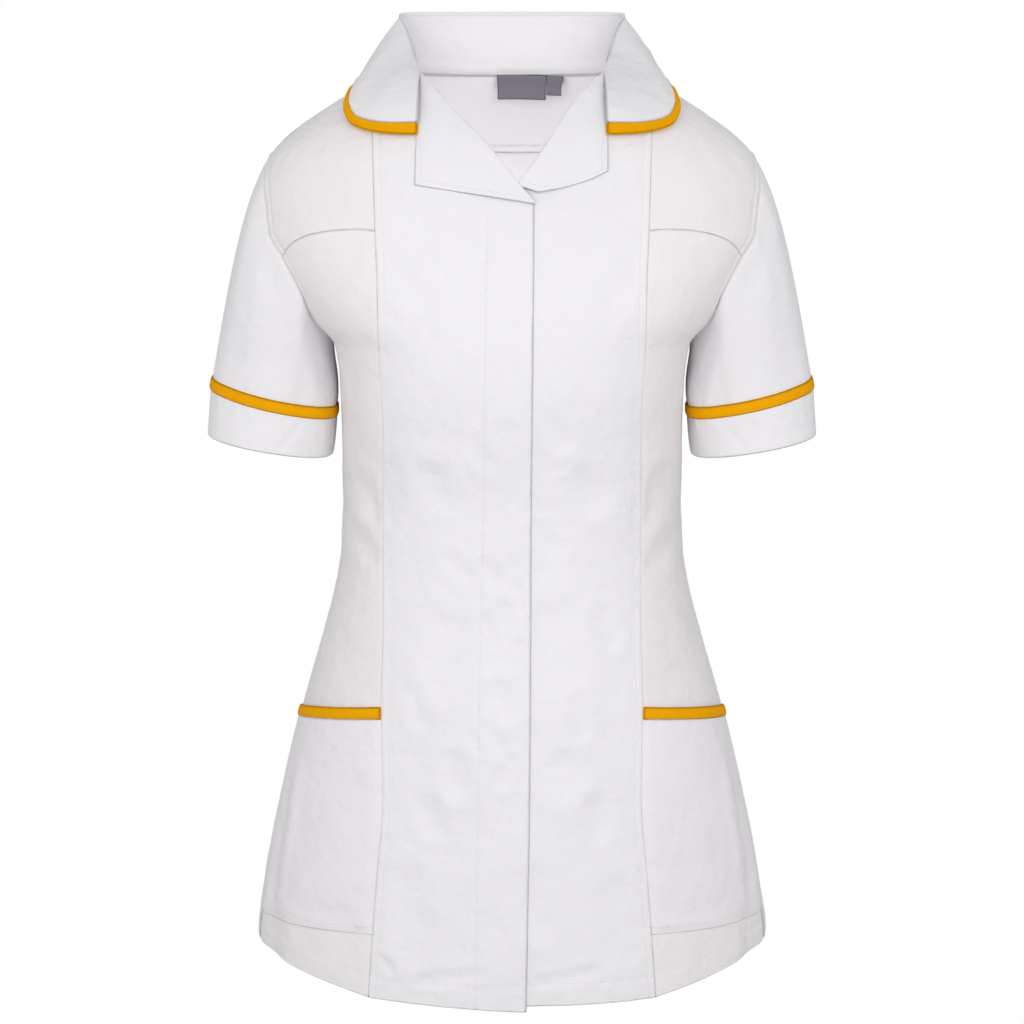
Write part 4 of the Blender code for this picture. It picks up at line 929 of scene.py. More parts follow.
def hem_relief(distance, run, seed):
    """A turned-up hem: a double band, a stitched valley at its top and fine puckers across it."""
    band = HEM_STEP * step_at(distance, HEM_TURN, RELIEF_FADE)
    pucker = puckers(distance - HEM_TURN, run, seed, HEM_PUCKER)
    return band + dip(distance - HEM_TURN, HEM_VALLEY) + pucker + dip(distance, HEM_VALLEY)


def off_edges(cloth, width, overlap):
    """0 at the sewn side edges, 1 away from them. An overlapping front's opening edge isn't sewn."""
    return ease((cloth.last if overlap else np.minimum(cloth.first, cloth.last)) / width)


def creases(cloth, table, overlap=False):
    """Lift of the soft creases of the front or back that fall on a piece of cloth."""
    x, z = cloth.home[..., 0], cloth.home[..., 2]
    lift = np.zeros_like(x)
    for x0, z0, x1, z1, width, depth in table:
        length = np.hypot(x1 - x0, z1 - z0)
        share = ((x - x0) * (x1 - x0) + (z - z0) * (z1 - z0)) / length ** 2
        share = np.clip(share, 0.0, 1.0)
        reach = np.hypot(x - x0 - share * (x1 - x0), z - z0 - share * (z1 - z0)) / width
        crest = CREST_SHARE * close_to(reach - CREST_AT, CREST_WIDTH)
        lift = lift - depth * (close_to(reach, 1.0) - crest)
    return CREASE_STRENGTH * lift * off_edges(cloth, CREASE_FADE, overlap)


def slack(cloth, seed, amount=0.0009, overlap=False):
    """Gentle unevenness of hanging cloth, broad and low, closer and stronger below the waist."""
    x, z = cloth.home[..., 0], cloth.home[..., 2]

    def wave(across, up, shift):
        return np.sin(across * x + up * z + shift * seed)

    broad = wave(38.0, 11.0, 1.0) * wave(-17.0, 21.0, 2.1)
    broad = broad + 0.6 * wave(67.0, -29.0, 0.7) * wave(9.0, 43.0, 1.0)
    close = wave(190.0, 37.0, 3.0) * wave(-61.0, 140.0, 1.0)
    close = close * (0.5 + 0.5 * wave(31.0, -23.0, 1.0))
    down = blend(SLACK_LEAST, 1.0, ease((SLACK_TOP - z) / SLACK_LENGTH))
    return amount * down * (broad + 0.42 * close) * off_edges(cloth, SLACK_FADE, overlap)


# ---------------------------------------------------------------- meshes


def add_object(name, points, faces, material, maps=None):
    """Make an object from points and faces, with a weave map in metres where one is given."""
    mesh = bpy.data.meshes.new(name)
    mesh.from_pydata(points.tolist(), [], faces)
    if maps is not None:
        layer = mesh.uv_layers.new(name="weave")
        loops = np.empty(len(mesh.loops), dtype=np.int32)
        mesh.loops.foreach_get("vertex_index", loops)
        layer.data.foreach_set("uv", maps[loops].astype(np.float32).ravel())
    mesh.materials.append(material)
    mesh.shade_smooth()
    mesh.update()
    piece = bpy.data.objects.new(name, mesh)
    bpy.context.scene.collection.objects.link(piece)
    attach(piece, "root")
    return piece


def quads(index, ring=False):
    """Faces between the rows and columns of a grid of point numbers."""
    if ring:
        index = np.concatenate([index, index[:, :1]], axis=1)
    grid = np.stack([index[:-1, :-1], index[:-1, 1:], index[1:, 1:], index[1:, :-1]], axis=-1)
    return grid.reshape(-1, 4)


def shell(name, cloth, material, thickness=THIN):
    """A thin closed shell of cloth with a rounded rim; the cloth's points are its outer face."""
    outer, normals = cloth.points, cloth.normals
    rows, columns = outer.shape[:2]
    thick = np.broadcast_to(thickness, (rows, columns))
    inner = outer - normals * thick[..., None]
    index = np.arange(rows * columns).reshape(rows, columns)
    faces = [quads(index, cloth.ring), quads(index + rows * columns, cloth.ring)[:, ::-1]]
    if cloth.ring:
        loops = [[(0, c) for c in range(columns)][::-1], [(rows - 1, c) for c in range(columns)]]
    else:
        loops = [[(0, c) for c in range(columns - 1, 0, -1)] + [(r, 0) for r in range(rows - 1)]
                 + [(rows - 1, c) for c in range(columns - 1)]
                 + [(r, columns - 1) for r in range(rows - 1, 0, -1)]]
    points = [outer.reshape(-1, 3), inner.reshape(-1, 3)]
    maps = np.stack([cloth.first, cloth.bottom], axis=-1).reshape(-1, 2)
    all_maps = [maps, maps]
    count = 2 * rows * columns
    for loop in loops:
        r = np.array([spot[0] for spot in loop])
        c = np.array([spot[1] for spot in loop])
        inside_r = np.clip(r, 1, rows - 2)
        inside_c = c if cloth.ring else np.clip(c, 1, columns - 2)
        middle = 0.5 * (outer[r, c] + inner[r, c])
        away = unit(outer[r, c] - outer[inside_r, inside_c])
        points.append(middle + away * 0.5 * thick[r, c][:, None])
        all_maps.append(maps.reshape(rows, columns, 2)[r, c])
        rim = count + np.arange(len(loop))
        edge = index[r, c]
        faces.append(quads(np.stack([rim, edge]), True))
        faces.append(quads(np.stack([edge + rows * columns, rim]), True))
        count += len(loop)
    faces = np.concatenate(faces)
    r, c = rows // 2, columns // 2
    turn = np.cross(outer[r, c + 1] - outer[r, c], outer[r + 1, c] - outer[r, c])
    if np.dot(turn, normals[r, c]) < 0.0:
        faces = faces[:, ::-1]
    return add_object(name, np.concatenate(points), faces.tolist(), material, np.concatenate(all_maps))


def tucked(cloth, edge, reach=TUCK_REACH, depth=TUCK_DEPTH):
    """The same cloth with one edge carried on under its neighbour."""
    points, normals = cloth.points, cloth.normals
    across = edge in ("first", "last")
    if across:
        points, normals = points.transpose(1, 0, 2), normals.transpose(1, 0, 2)
    if edge in ("first", "bottom"):
        points, normals = points[::-1], normals[::-1]
    ahead = unit(points[-1] - points[-2])
    under = points[-1] + ahead * reach - normals[-1] * depth
    points = np.concatenate([points, under[None]])
    normals = np.concatenate([normals, normals[-1:]])
    if edge in ("first", "bottom"):
        points, normals = points[::-1], normals[::-1]
    if across:
        points, normals = points.transpose(1, 0, 2), normals.transpose(1, 0, 2)
    return Cloth(points, normals, cloth.ring)


def line_on(cloth, edge, distance, skip=0.0, skip_end=0.0):
    """Points and directions on the cloth at a distance from one of its edges."""
    field = {"first": cloth.first, "last": cloth.last, "bottom": cloth.bottom, "top": cloth.top}[edge]
    points, normals = cloth.points, cloth.normals
    if edge in ("bottom", "top"):
        field, points, normals = field.T, points.transpose(1, 0, 2), normals.transpose(1, 0, 2)
    distance = np.broadcast_to(distance, (len(field),))
    found, directions = [], []
    numbers = np.arange(field.shape[1])
    for row in range(len(field)):
        order = np.argsort(field[row], kind="stable")
        if distance[row] > field[row][order[-1]]:
            continue
        place = np.interp(distance[row], field[row][order], numbers[order])
        low = int(min(place, field.shape[1] - 2))
        found.append(blend(points[row, low], points[row, low + 1], place - low))
        directions.append(blend(normals[row, low], normals[row, low + 1], place - low))
    found, directions = np.array(found), unit(np.array(directions))
    run = lengths_of(found)
    keep = (run >= skip) & (run <= run[-1] - skip_end)
    return found[keep], directions[keep]


def stitching(name, lines, material, radius=THREAD):
    """Rows of stitches as short threads that dip into the cloth at both ends."""
    turns = (2.0 * math.pi * np.arange(STITCH_SIDES) / STITCH_SIDES)[None, :, None]
    all_points, all_faces, count = [], [], 0
    for points, normals in lines:
        run = lengths_of(points)
        starts = np.arange(0.5 * (STITCH_PITCH - STITCH), run[-1] - STITCH, STITCH_PITCH)
        rings = []
        for share, height, wide in STITCH_RINGS:
            where = starts + share * STITCH
            up = unit(points_at(where, run, normals))
            ahead = points_at(where + STITCH_AIM, run, points)
            behind = points_at(where - STITCH_AIM, run, points)
            across = unit(np.cross(ahead - behind, up))
            centre = points_at(where, run, points) + up * radius * height
            spread = across[:, None] * np.cos(turns) + up[:, None] * np.sin(turns)
            rings.append(centre[:, None] + radius * wide * spread)
        block = np.stack(rings, axis=1)
        index = count + np.arange(block[..., 0].size).reshape(block.shape[:3])
        ahead = np.roll(index, -1, axis=2)
        strip = np.stack([index[:, :-1], ahead[:, :-1], ahead[:, 1:], index[:, 1:]], axis=-1)
        all_faces += strip.reshape(-1, 4).tolist() + index[:, 0, ::-1].tolist() + index[:, -1].tolist()
        all_points.append(block.reshape(-1, 3))
        count += block[..., 0].size
    add_object(name, np.concatenate(all_points), all_faces, material)


def make_piece(node, cloth, shown=None, thickness=THIN, material=None,
               ending="_cloth"):
    """Make the cloth that stands for a solid, hide the solid, and work out the size it was cut to."""
    piece = shell(node + ending, shown or cloth, material or white_cloth(), thickness)
    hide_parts(node)
    width, length, area = cloth.flat()
    length = max(length, SMALLEST_CUT)


# ---------------------------------------------------------------- materials


def new_group(name, inputs, outputs):
    """An empty shader node group with named sockets."""
    group = bpy.data.node_groups.new(name, "ShaderNodeTree")
    for label, kind, value in inputs:
        socket = group.interface.new_socket(name=label, in_out="INPUT", socket_type=kind)
        if value is not None:
            socket.default_value = value
    for label, kind in outputs:
        group.interface.new_socket(name=label, in_out="OUTPUT", socket_type=kind)
    return group, group.nodes.new("NodeGroupInput"), group.nodes.new("NodeGroupOutput")


def math_node(tree, operation, a, b=None):
    """A maths node fed by sockets or plain numbers."""
    node = tree.nodes.new("ShaderNodeMath")
    node.operation = operation
    for socket, value in zip(node.inputs, (a, b)):
        if value is None:
            continue
        if isinstance(value, (int, float)):
            socket.default_value = value
        else:
            tree.links.new(value, socket)
    return node.outputs[0]


def set_inputs(node, values):
    """Set a node's input sockets by name."""
    for label, value in values.items():
        node.inputs[label].default_value = value


def noise_node(tree, vector, scale, detail, roughness=0.5):
    """A soft noise of a given scale."""
    node = tree.nodes.new("ShaderNodeTexNoise")
    set_inputs(node, {"Scale": scale, "Detail": detail, "Roughness": roughness})
    tree.links.new(vector, node.inputs["Vector"])
    return node.outputs["Fac"]


def mix_colours(tree, factor, first, second, shader):
    """Give a shader a colour that varies between two."""
    mix = tree.nodes.new("ShaderNodeMix")
    mix.data_type = "RGBA"
    mix.inputs["A"].default_value = (*first, 1.0)
    mix.inputs["B"].default_value = (*second, 1.0)
    tree.links.new(factor, mix.inputs["Factor"])
    tree.links.new(mix.outputs["Result"], shader.inputs["Base Color"])


def bump_node(tree, distance, height):
    """A bump of a given height in metres."""
    node = tree.nodes.new("ShaderNodeBump")
    set_inputs(node, {"Strength": 1.0, "Distance": distance})
    tree.links.new(height, node.inputs["Height"])
    return node


def stretched(tree, vector, scale):
    """A vector scaled by different amounts along its axes."""
    node = tree.nodes.new("ShaderNodeVectorMath")
    node.operation = "MULTIPLY"
    node.inputs[1].default_value = scale
    tree.links.new(vector, node.inputs[0])
    return node.outputs[0]


def weave_group():
    """Plain weave: crossing threads with uneven thickness, as a height and a shade."""
    group = bpy.data.node_groups.get("plain_weave")
    if group is not None:
        return group
    group, start, end = new_group(
        "plain_weave",
        [("Vector", "NodeSocketVector", None), ("Threads per Metre", "NodeSocketFloat", CLOTH_THREADS)],
        [("Height", "NodeSocketFloat"), ("Shade", "NodeSocketFloat")],
    )
    split = group.nodes.new("ShaderNodeSeparateXYZ")
    group.links.new(start.outputs["Vector"], split.inputs[0])
    turns = math_node(group, "MULTIPLY", start.outputs["Threads per Metre"], 2.0 * math.pi)
    warp = math_node(group, "SINE", math_node(group, "MULTIPLY", split.outputs["X"], turns))
    weft = math_node(group, "SINE", math_node(group, "MULTIPLY", split.outputs["Y"], turns))
    crossing = math_node(group, "MULTIPLY", warp, weft)
    slub_up = noise_node(group, stretched(group, start.outputs["Vector"], (900.0, 45.0, 1.0)), 1.0, 2.0)
    slub_across = noise_node(group, stretched(group, start.outputs["Vector"], (45.0, 900.0, 1.0)), 1.0, 2.0)
    slubs = math_node(group, "ADD", slub_up, slub_across)
    height = math_node(group, "ADD", math_node(group, "MULTIPLY", crossing, 0.35), slubs)
    group.links.new(height, end.inputs["Height"])
    group.links.new(math_node(group, "MULTIPLY", slubs, 0.5), end.inputs["Shade"])
    return group


def handle_group():
    """Soft unevenness of handled cloth, as a height and a shade."""
    group = bpy.data.node_groups.get("handled_cloth")
    if group is not None:
        return group
    group, start, end = new_group(
        "handled_cloth",
        [("Vector", "NodeSocketVector", None)],
        [("Height", "NodeSocketFloat"), ("Shade", "NodeSocketFloat")],
    )
    broad = noise_node(group, start.outputs["Vector"], 22.0, 3.0, 0.55)
    close = noise_node(group, start.outputs["Vector"], 75.0, 3.0, 0.55)
    height = math_node(group, "ADD", broad, math_node(group, "MULTIPLY", close, 0.25))
    group.links.new(height, end.inputs["Height"])
    group.links.new(noise_node(group, start.outputs["Vector"], 9.0, 2.0), end.inputs["Shade"])
    return group


def cloth_material(name, colour, shade, roughness, threads=CLOTH_THREADS, weave=0.00007, handle=0.0040,
                   sheen=0.12, specular=0.25):
    """A woven cloth: weave and soft unevenness in its normal, a slight change of shade in its colour."""
    material = bpy.data.materials.get(name)
    if material is not None:
        return material
    material = bpy.data.materials.new(name)
    material.use_nodes = True
    tree = material.node_tree
    shader = tree.nodes["Principled BSDF"]
    set_inputs(shader, {"Metallic": 0.0, "Sheen Weight": sheen, "Sheen Roughness": 0.5,
                        "Specular IOR Level": specular})
    uv = tree.nodes.new("ShaderNodeUVMap")
    uv.uv_map = "weave"
    where = tree.nodes.new("ShaderNodeTexCoord")
    threads_node = tree.nodes.new("ShaderNodeGroup")
    threads_node.node_tree = weave_group()
    threads_node.inputs["Threads per Metre"].default_value = threads
    tree.links.new(uv.outputs["UV"], threads_node.inputs["Vector"])
    handled = tree.nodes.new("ShaderNodeGroup")
    handled.node_tree = handle_group()
    tree.links.new(where.outputs["Object"], handled.inputs["Vector"])
    both = math_node(tree, "ADD", math_node(tree, "MULTIPLY", threads_node.outputs["Shade"], 0.6),
                     math_node(tree, "MULTIPLY", handled.outputs["Shade"], 0.8))
    mix_colours(tree, both, shade, colour, shader)
    uneven = math_node(tree, "MULTIPLY", threads_node.outputs["Shade"], 0.10)
    tree.links.new(math_node(tree, "ADD", uneven, roughness - 0.05), shader.inputs["Roughness"])
    soft = bump_node(tree, handle, handled.outputs["Height"])
    fine = bump_node(tree, weave, threads_node.outputs["Height"])
    tree.links.new(soft.outputs["Normal"], fine.inputs["Normal"])
    tree.links.new(fine.outputs["Normal"], shader.inputs["Normal"])
    return material


def white_cloth(where="centre"):
    """The tunic's off-white polycotton, with painted shade on the side fronts' and pockets' copies: a little
    darker and warmer where one layer hangs over the dim inside.
    """
    painted_tint = CLOTH_PAINTED_SHADE_TINTS[where]
    colour = tuple(value * part for value, part in zip(bpy.context.scene.tunic_colours.cloth, painted_tint))
    return cloth_material("white_polycotton_" + where, colour, tuple(0.95 * value for value in colour), 0.82)


def amber_cloth():
    """The amber trim."""
    colours = bpy.context.scene.tunic_colours
    colour = tuple(colours.trim)
    return cloth_material("amber_binding", colour, tuple(0.86 * value for value in colour), 0.80,
                          weave=0.00009, handle=0.0005, sheen=0.0, specular=0.04)


def label_cloth():
    """The grey woven labels."""
    colours = bpy.context.scene.tunic_colours
    colour = tuple(colours.label)
    return cloth_material("grey_label_tape", colour, tuple(0.85 * value for value in colour), 0.55,
                          threads=2200.0, handle=0.0003, sheen=0.0)


def thread_material(name, colour):
    """Sewing thread, a little glossier than the cloth."""
    material = bpy.data.materials.get(name)
    if material is not None:
        return material
    material = bpy.data.materials.new(name)
    material.use_nodes = True
    tree = material.node_tree
    shader = tree.nodes["Principled BSDF"]
    set_inputs(shader, {"Roughness": 0.5, "Sheen Weight": 0.1})
    where = tree.nodes.new("ShaderNodeTexCoord")
    twist = noise_node(tree, where.outputs["Object"], 2600.0, 1.0)
    mix_colours(tree, twist, [0.86 * value for value in colour], colour, shader)
    return material


def white_thread():
    """Thread of the white seams."""
    return thread_material("white_thread", tuple(bpy.context.scene.tunic_colours.cloth))


def amber_thread():
    """Thread of the trims."""
    colour = tuple(0.9 * value for value in bpy.context.scene.tunic_colours.trim)
    return thread_material("amber_thread", colour)


# ---------------------------------------------------------------- fronts and backs


def kept(line, keep):
    """The part of a line of points and directions that is kept."""
    return line[0][keep], line[1][keep]


def side_relief(cloth, side_seed, hole_seed):
    """Lift along a panel's side seam, and along its armhole above the underarm."""
    at_side = plain_seam(cloth.last, cloth.bottom, side_seed)
    at_hole = welted_seam(cloth.last, cloth.bottom, hole_seed)
    return blend(at_side, at_hole, ease((cloth.home[..., 2] - UNDERARM) / HOLE_FADE))


def side_stitches(cloth):
    """Lines of stitching along a panel's armhole and beside its vent."""
    hole = line_on(cloth, "last", WELT)
    vent = line_on(cloth, "last", EDGE_STITCH)
    return [kept(hole, hole[0][:, 2] > UNDERARM + HOLE_CLEAR), kept(vent, vent[0][:, 2] < VENT_TOP)]


def make_centre_front(side_name, side):
    """One centre front, with its fly facing, hem and welted princess seam."""
    place, rows = centre_front_place(side)
    sunk = (lambda cloth: -lap_sink(cloth.points[..., 0])) if side > 0.0 else None
    cloth = panel(place, rows, side, lift=sunk)
    run, z = cloth.bottom, cloth.home[..., 2]
    cloth.lift(creases(cloth, FRONT_CREASES, True) + slack(cloth, 0.4, overlap=True))
    cloth.lift(welted_seam(cloth.last, run, 1.3 + side))
    cloth.lift(hem_relief(cloth.bottom, cloth.first, 2.2 + side))
    fly = FLY_AT(z)
    edge = dip(cloth.first, OPENING_EDGE)
    if side < 0.0:
        relief = FLY_BAND * step_at(cloth.first, fly, RELIEF_FADE) + dip(cloth.first - fly, FLY_VALLEY)
        relief = relief + puckers(cloth.first - fly, run, 0.7, FLY_PUCKER)
        edge = edge + ease((FLY_TOP - z) / FLY_FADE) * relief
    cloth.lift(edge)
    twice = np.clip(doubled(cloth.first, fly) + doubled(cloth.bottom, HEM_TURN), 0.0, 1.0)
    thick = blend(THIN, DOUBLE, twice)
    make_piece("front_" + side_name, cloth, thickness=thick)
    lines = [line_on(cloth, "last", WELT), line_on(cloth, "bottom", HEM_TURN)]
    if side < 0.0:
        line = line_on(cloth, "first", FLY_AT(cloth.home[:, 0, 2]))
        heights = line[0][:, 2]
        lines.append(kept(line, heights < FLY_TOP))
        points, up = kept(line, (heights > TACK_LOW) & (heights < TACK_HIGH))
        shift = np.array([TACK_SPREAD, 0.0, 0.0])
        lines += [(points + shift, up), (points - shift, up)]
    stitching("front_%s_topstitching" % side_name, lines, white_thread())


def make_side_fronts(side_name, side):
    """Lower and upper side front, joined by the bust seam."""
    place, rows = side_front_lower_place()
    lower = panel(place, rows, side, edge_gaps=vent_gap)
    lower.lift(creases(lower, FRONT_CREASES) + slack(lower, 2.1 * side, 0.0006))
    lower.lift(plain_seam(lower.first, lower.bottom, 3.1 + side))
    lower.lift(side_relief(lower, 0.3 + side, 2.3 + side))
    lower.lift(hem_relief(lower.bottom, lower.first, 1.2 + side) + dip(lower.top, WELTED_SEAM))
    sewn = tucked(lower, "first")
    thick = blend(THIN, DOUBLE, doubled(sewn.bottom, HEM_TURN))
    # The side fronts take the cloth copy with painted shade, a little darker and warmer.
    rests_on, material = ["front_%s_cloth" % side_name], white_cloth("side")
    make_piece("side_front_lower_" + side_name, lower, sewn, thick, material)
    place, rows = side_front_upper_place()
    upper = panel(place, rows, side, UPPER_GRID)
    upper.lift(creases(upper, FRONT_CREASES))
    upper.lift(plain_seam(upper.first, upper.bottom, 4.4 + side))
    upper.lift(welted_seam(upper.last, upper.bottom, 3.7 + side))
    at_shoulder = plain_seam(upper.top, upper.first, 2.7)
    upper.lift(plain_seam(upper.bottom, upper.first, 1.9 + side) + at_shoulder)
    sewn = tucked(tucked(upper, "first"), "bottom")
    make_piece("side_front_upper_" + side_name, upper, sewn, material=material)
    lines = side_stitches(lower) + [line_on(lower, "bottom", HEM_TURN), line_on(upper, "last", WELT)]
    stitching("side_front_%s_topstitching" % side_name, lines, white_thread())


def make_back():
    """Centre back, with welted princess seams and a hem."""
    place, rows = back_place()
    cloth = panel(place, rows, 1.0, BACK_GRID)
    cloth.lift(creases(cloth, BACK_CREASES) + slack(cloth, 0.9, 0.0010))
    cloth.lift(welted_seam(cloth.first, cloth.bottom, 0.8) + welted_seam(cloth.last, cloth.bottom, 1.8))
    cloth.lift(hem_relief(cloth.bottom, cloth.first, 0.5) + dip(cloth.top, BACK_TOP_EDGE))
    thick = blend(THIN, DOUBLE, doubled(cloth.bottom, HEM_TURN))
    make_piece("back", cloth, thickness=thick)
    edges = (("first", WELT), ("last", WELT), ("bottom", HEM_TURN))
    stitching("back_topstitching", [line_on(cloth, *edge) for edge in edges], white_thread())


def make_side_back(side_name, side):
    """One side back, with its side seam, vent and armhole."""
    place, rows = side_back_place()
    cloth = panel(place, rows, side, SIDE_BACK_GRID, vent_gap)
    cloth.lift(creases(cloth, BACK_CREASES) + slack(cloth, 1.4 * side, 0.0008))
    cloth.lift(plain_seam(cloth.first, cloth.bottom, 2.6 + side))
    cloth.lift(side_relief(cloth, 1.1 + side, 0.2 + side))
    cloth.lift(hem_relief(cloth.bottom, cloth.first, 3.2 + side))
    cloth.lift(welted_seam(cloth.top, cloth.first, 1.5 + side, YOKE_WELT))
    sewn = tucked(cloth, "first")
    thick = blend(THIN, DOUBLE, doubled(sewn.bottom, HEM_TURN))
    make_piece("side_back_" + side_name, cloth, sewn, thick)
    lines = side_stitches(cloth) + [line_on(cloth, "bottom", HEM_TURN), line_on(cloth, "top", YOKE_WELT)]
    stitching("side_back_%s_topstitching" % side_name, lines, white_thread())


def neck_seam_height(angle):
    """Height of the back neck seam."""
    return NECK_SIDE - NECK_DIP * np.cos(angle) ** 2


def make_neck_facing():
    """Facing inside the back neck, stitched along its lower edge."""
    def place(u, v):
        turn = blend(math.pi / 2.0, 1.5 * math.pi, u)
        seam = neck_seam_height(turn)
        from_shoulder = np.degrees(np.minimum(turn - math.pi / 2.0, 1.5 * math.pi - turn))
        low = seam - blend(FACING_SHOULDER, FACING_DEPTH, ease(from_shoulder / FACING_SPREAD))
        height = blend(low, seam - FACING_TOP_CLEAR, v / FACING_ROWS)
        return np.where(turn > math.pi, 2.0 * math.pi - turn, -turn), height

    cloth = panel(place, FACING_ROWS, 1.0, FACING_GRID, lift=lambda grid: -(CLOTH + FACING_AIR))
    ridge = FACING_TURN_RISE * np.exp(-((cloth.bottom - 0.5 * FACING_TURN) / 0.0028) ** 4)
    cloth.lift(-ridge - puckers(cloth.bottom - FACING_TURN, cloth.first, 0.4, FACING_PUCKER))
    cloth.lift(FACING_TOP_RISE * (1.0 - ease(cloth.top / FACING_TOP_FADE)))
    thick = THIN + 0.0004 * doubled(cloth.bottom, FACING_TURN)
    make_piece("back_neck_facing", cloth, thickness=thick)
    points, up = line_on(cloth, "bottom", FACING_TURN)
    stitching("back_neck_facing_stitching", [(points - up * 0.0013, -up)], white_thread())


def make_label(label):
    """A bare woven label that hangs from the back neck seam."""
    top = NECK_SIDE - NECK_DIP - LABEL_DROP + LABEL_RISE
    x = np.linspace(label.left, label.right, 36)
    depth = -(CLOTH + FACING_AIR + LABEL_CLOTH + LABEL_AIR)
    hung, normal = body_point(back_angle(x, top), np.full_like(x, top), depth)
    level = unit(normal * np.array([1.0, 1.0, 0.0]))
    down = np.linspace(label.length, 0.0, 22)
    points = hung[None] - down[:, None, None] * np.array([0.0, 0.0, 1.0])
    cloth = Cloth(points, np.broadcast_to(level[None], points.shape).copy())
    edge = np.minimum(np.minimum(cloth.first, cloth.last), cloth.bottom)
    cloth.lift(dip(edge, LABEL_EDGE) - 0.0004 * np.sin(math.pi * cloth.bottom / label.length))
    cloth.lift(LABEL_SINK * (1.0 - ease(cloth.top / LABEL_SINK_WIDTH)))
    make_piece(label.name, cloth, None, TAPE, label_cloth(),
               "_tape")


# ---------------------------------------------------------------- collar and lapels


def rolled(points, normals, radius, turn=math.pi, steps=9, row=-1):
    """Rows that carry the cloth's last or first row round a fold and under itself."""
    beside = -2 if row == -1 else 1
    edge, normal = points[row], normals[row]
    ahead = edge - points[beside]
    ahead = unit(ahead - normal * np.sum(ahead * normal, axis=1, keepdims=True))
    extra, directions = [], []
    for step in range(1, steps + 1):
        a = turn * step / steps
        extra.append(edge + ahead * radius * math.sin(a) - normal * radius * (1.0 - math.cos(a)))
        directions.append(normal * math.cos(a) + ahead * math.sin(a))
    extra, directions = np.array(extra), np.array(directions)
    if row == -1:
        return np.concatenate([points, extra]), np.concatenate([normals, directions])
    return np.concatenate([extra[::-1], points]), np.concatenate([directions[::-1], normals])


def grid_directions(points, ring=False):
    """Directions square to a grid of points."""
    if ring:
        across = np.roll(points, -1, axis=1) - np.roll(points, 1, axis=1)
    else:
        across = np.gradient(points, axis=1)
    return unit(np.cross(across, np.gradient(points, axis=0)))


def collar_lines():
    """The collar's fold line and outer edge at even places from the front end to the centre back."""
    fold = spline(FOLD_LINE)
    places = [(math.radians(degrees), height) for degrees, height in COLLAR_EDGE]
    edge_spots = [body_point(np.array(a), np.array(h), COLLAR_STANDOFF + CLOTH)[0] for a, h in places]
    shares = np.linspace(0.0, 1.0, COLLAR_STEPS + 1)
    return along_line(fold, shares), along_line(spline(edge_spots), shares)


def mirrored(half):
    """A line given on the wearer's left, from the right front end over the back to the left one."""
    return np.concatenate([half * np.array([-1.0, 1.0, 1.0]), half[:-1][::-1]])


def collar_rows(shares_of):
    """Rows of the turned-down collar at shares of the way from its outer edge to the fold."""
    fold, edge = collar_lines()
    length = np.linalg.norm(fold - edge, axis=1)
    along = np.linspace(0.0, 1.0, COLLAR_STEPS + 1)
    sideways = edge[:, 0] * ease(along / BULGE_FORWARD)
    outward = unit(np.stack([sideways, edge[:, 1], np.zeros_like(sideways)], axis=1))
    outward = unit(outward + np.array([0.0, 0.0, BULGE_RISE]))
    bulge = COLLAR_BULGE_AT(along)
    rows = []
    for share in shares_of(TRIM_WIDTH / length):
        lift = (bulge * 4.0 * share * (1.0 - share))[:, None]
        rows.append(mirrored(edge + (fold - edge) * share[:, None] + outward * lift))
    return np.array(rows)


def sway(cloth, seed, wave):
    """Soft waves along a part of the collar, which fade at both sides of their width."""
    across = np.sin(math.pi * np.clip(cloth.bottom / wave.width, 0.0, 1.0))
    return wave.height * ripple(cloth.first, seed, wave.length) * across


def end_rise(cloth):
    """How far the collar's front ends stand up off the lapels that are sewn under them."""
    return COLLAR_END_RISE * close_to(np.minimum(cloth.first, cloth.last), COLLAR_END_SPREAD)


def make_trim(name, trim, stitch_in):
    """An amber band, with a row of stitches inside each edge."""
    make_piece(name, trim, None, BAND, amber_cloth(), "_band")
    lines = [line_on(trim, "bottom", stitch_in), line_on(trim, "top", stitch_in)]
    stitching(name + "_stitching", lines, amber_thread(), TRIM_THREAD)


def make_collar():
    """Turned-down collar with its roll, its amber trim and the stand inside."""
    steps = range(COLLAR_ROWS + 1)
    rows = collar_rows(lambda trim: [blend(trim, 1.0, step / COLLAR_ROWS) for step in steps])
    cloth = Cloth(rows, grid_directions(rows))
    for end, beside in ((0, 1), (-1, -2)):
        cloth.points[:, end] += unit(rows[:, end] - rows[:, beside]) * COLLAR_END_OUT
    end = np.minimum(cloth.first, cloth.last)
    stitched = dip(end - EDGE_STITCH, COLLAR_VALLEY)
    cloth.lift(dip(cloth.bottom, COLLAR_EDGE_DIP) + dip(end, COLLAR_END_DIP) + stitched)
    cloth.lift(sway(cloth, 0.9, FALL_SWAY) + end_rise(cloth))
    fall = Cloth(*rolled(cloth.points, cloth.normals, FOLD_RADIUS))
    make_piece("collar_fall", fall, thickness=COLLAR_SHOWN)
    trim_rows = collar_rows(lambda trim: [trim * step / TRIM_ROWS for step in range(TRIM_ROWS + 1)])
    trim = Cloth(trim_rows, grid_directions(trim_rows))
    trim.lift(TRIM_STANDS - TRIM_UNDER * (1.0 - ease(trim.bottom / TRIM_UNDER_WIDTH)) + end_rise(trim))
    near = np.minimum(trim.bottom, trim.top)
    trim.lift(dip(near, COLLAR_TRIM_EDGE) + 0.00012 * ripple(trim.first, 0.4, 0.009))
    make_trim("collar_trim", trim, COLLAR_STITCH)
    ends = [line_on(fall, edge, EDGE_STITCH, 0.001, 0.006) for edge in ("first", "last")]
    stitching("collar_end_stitching", ends, white_thread())
    make_stand(cloth)


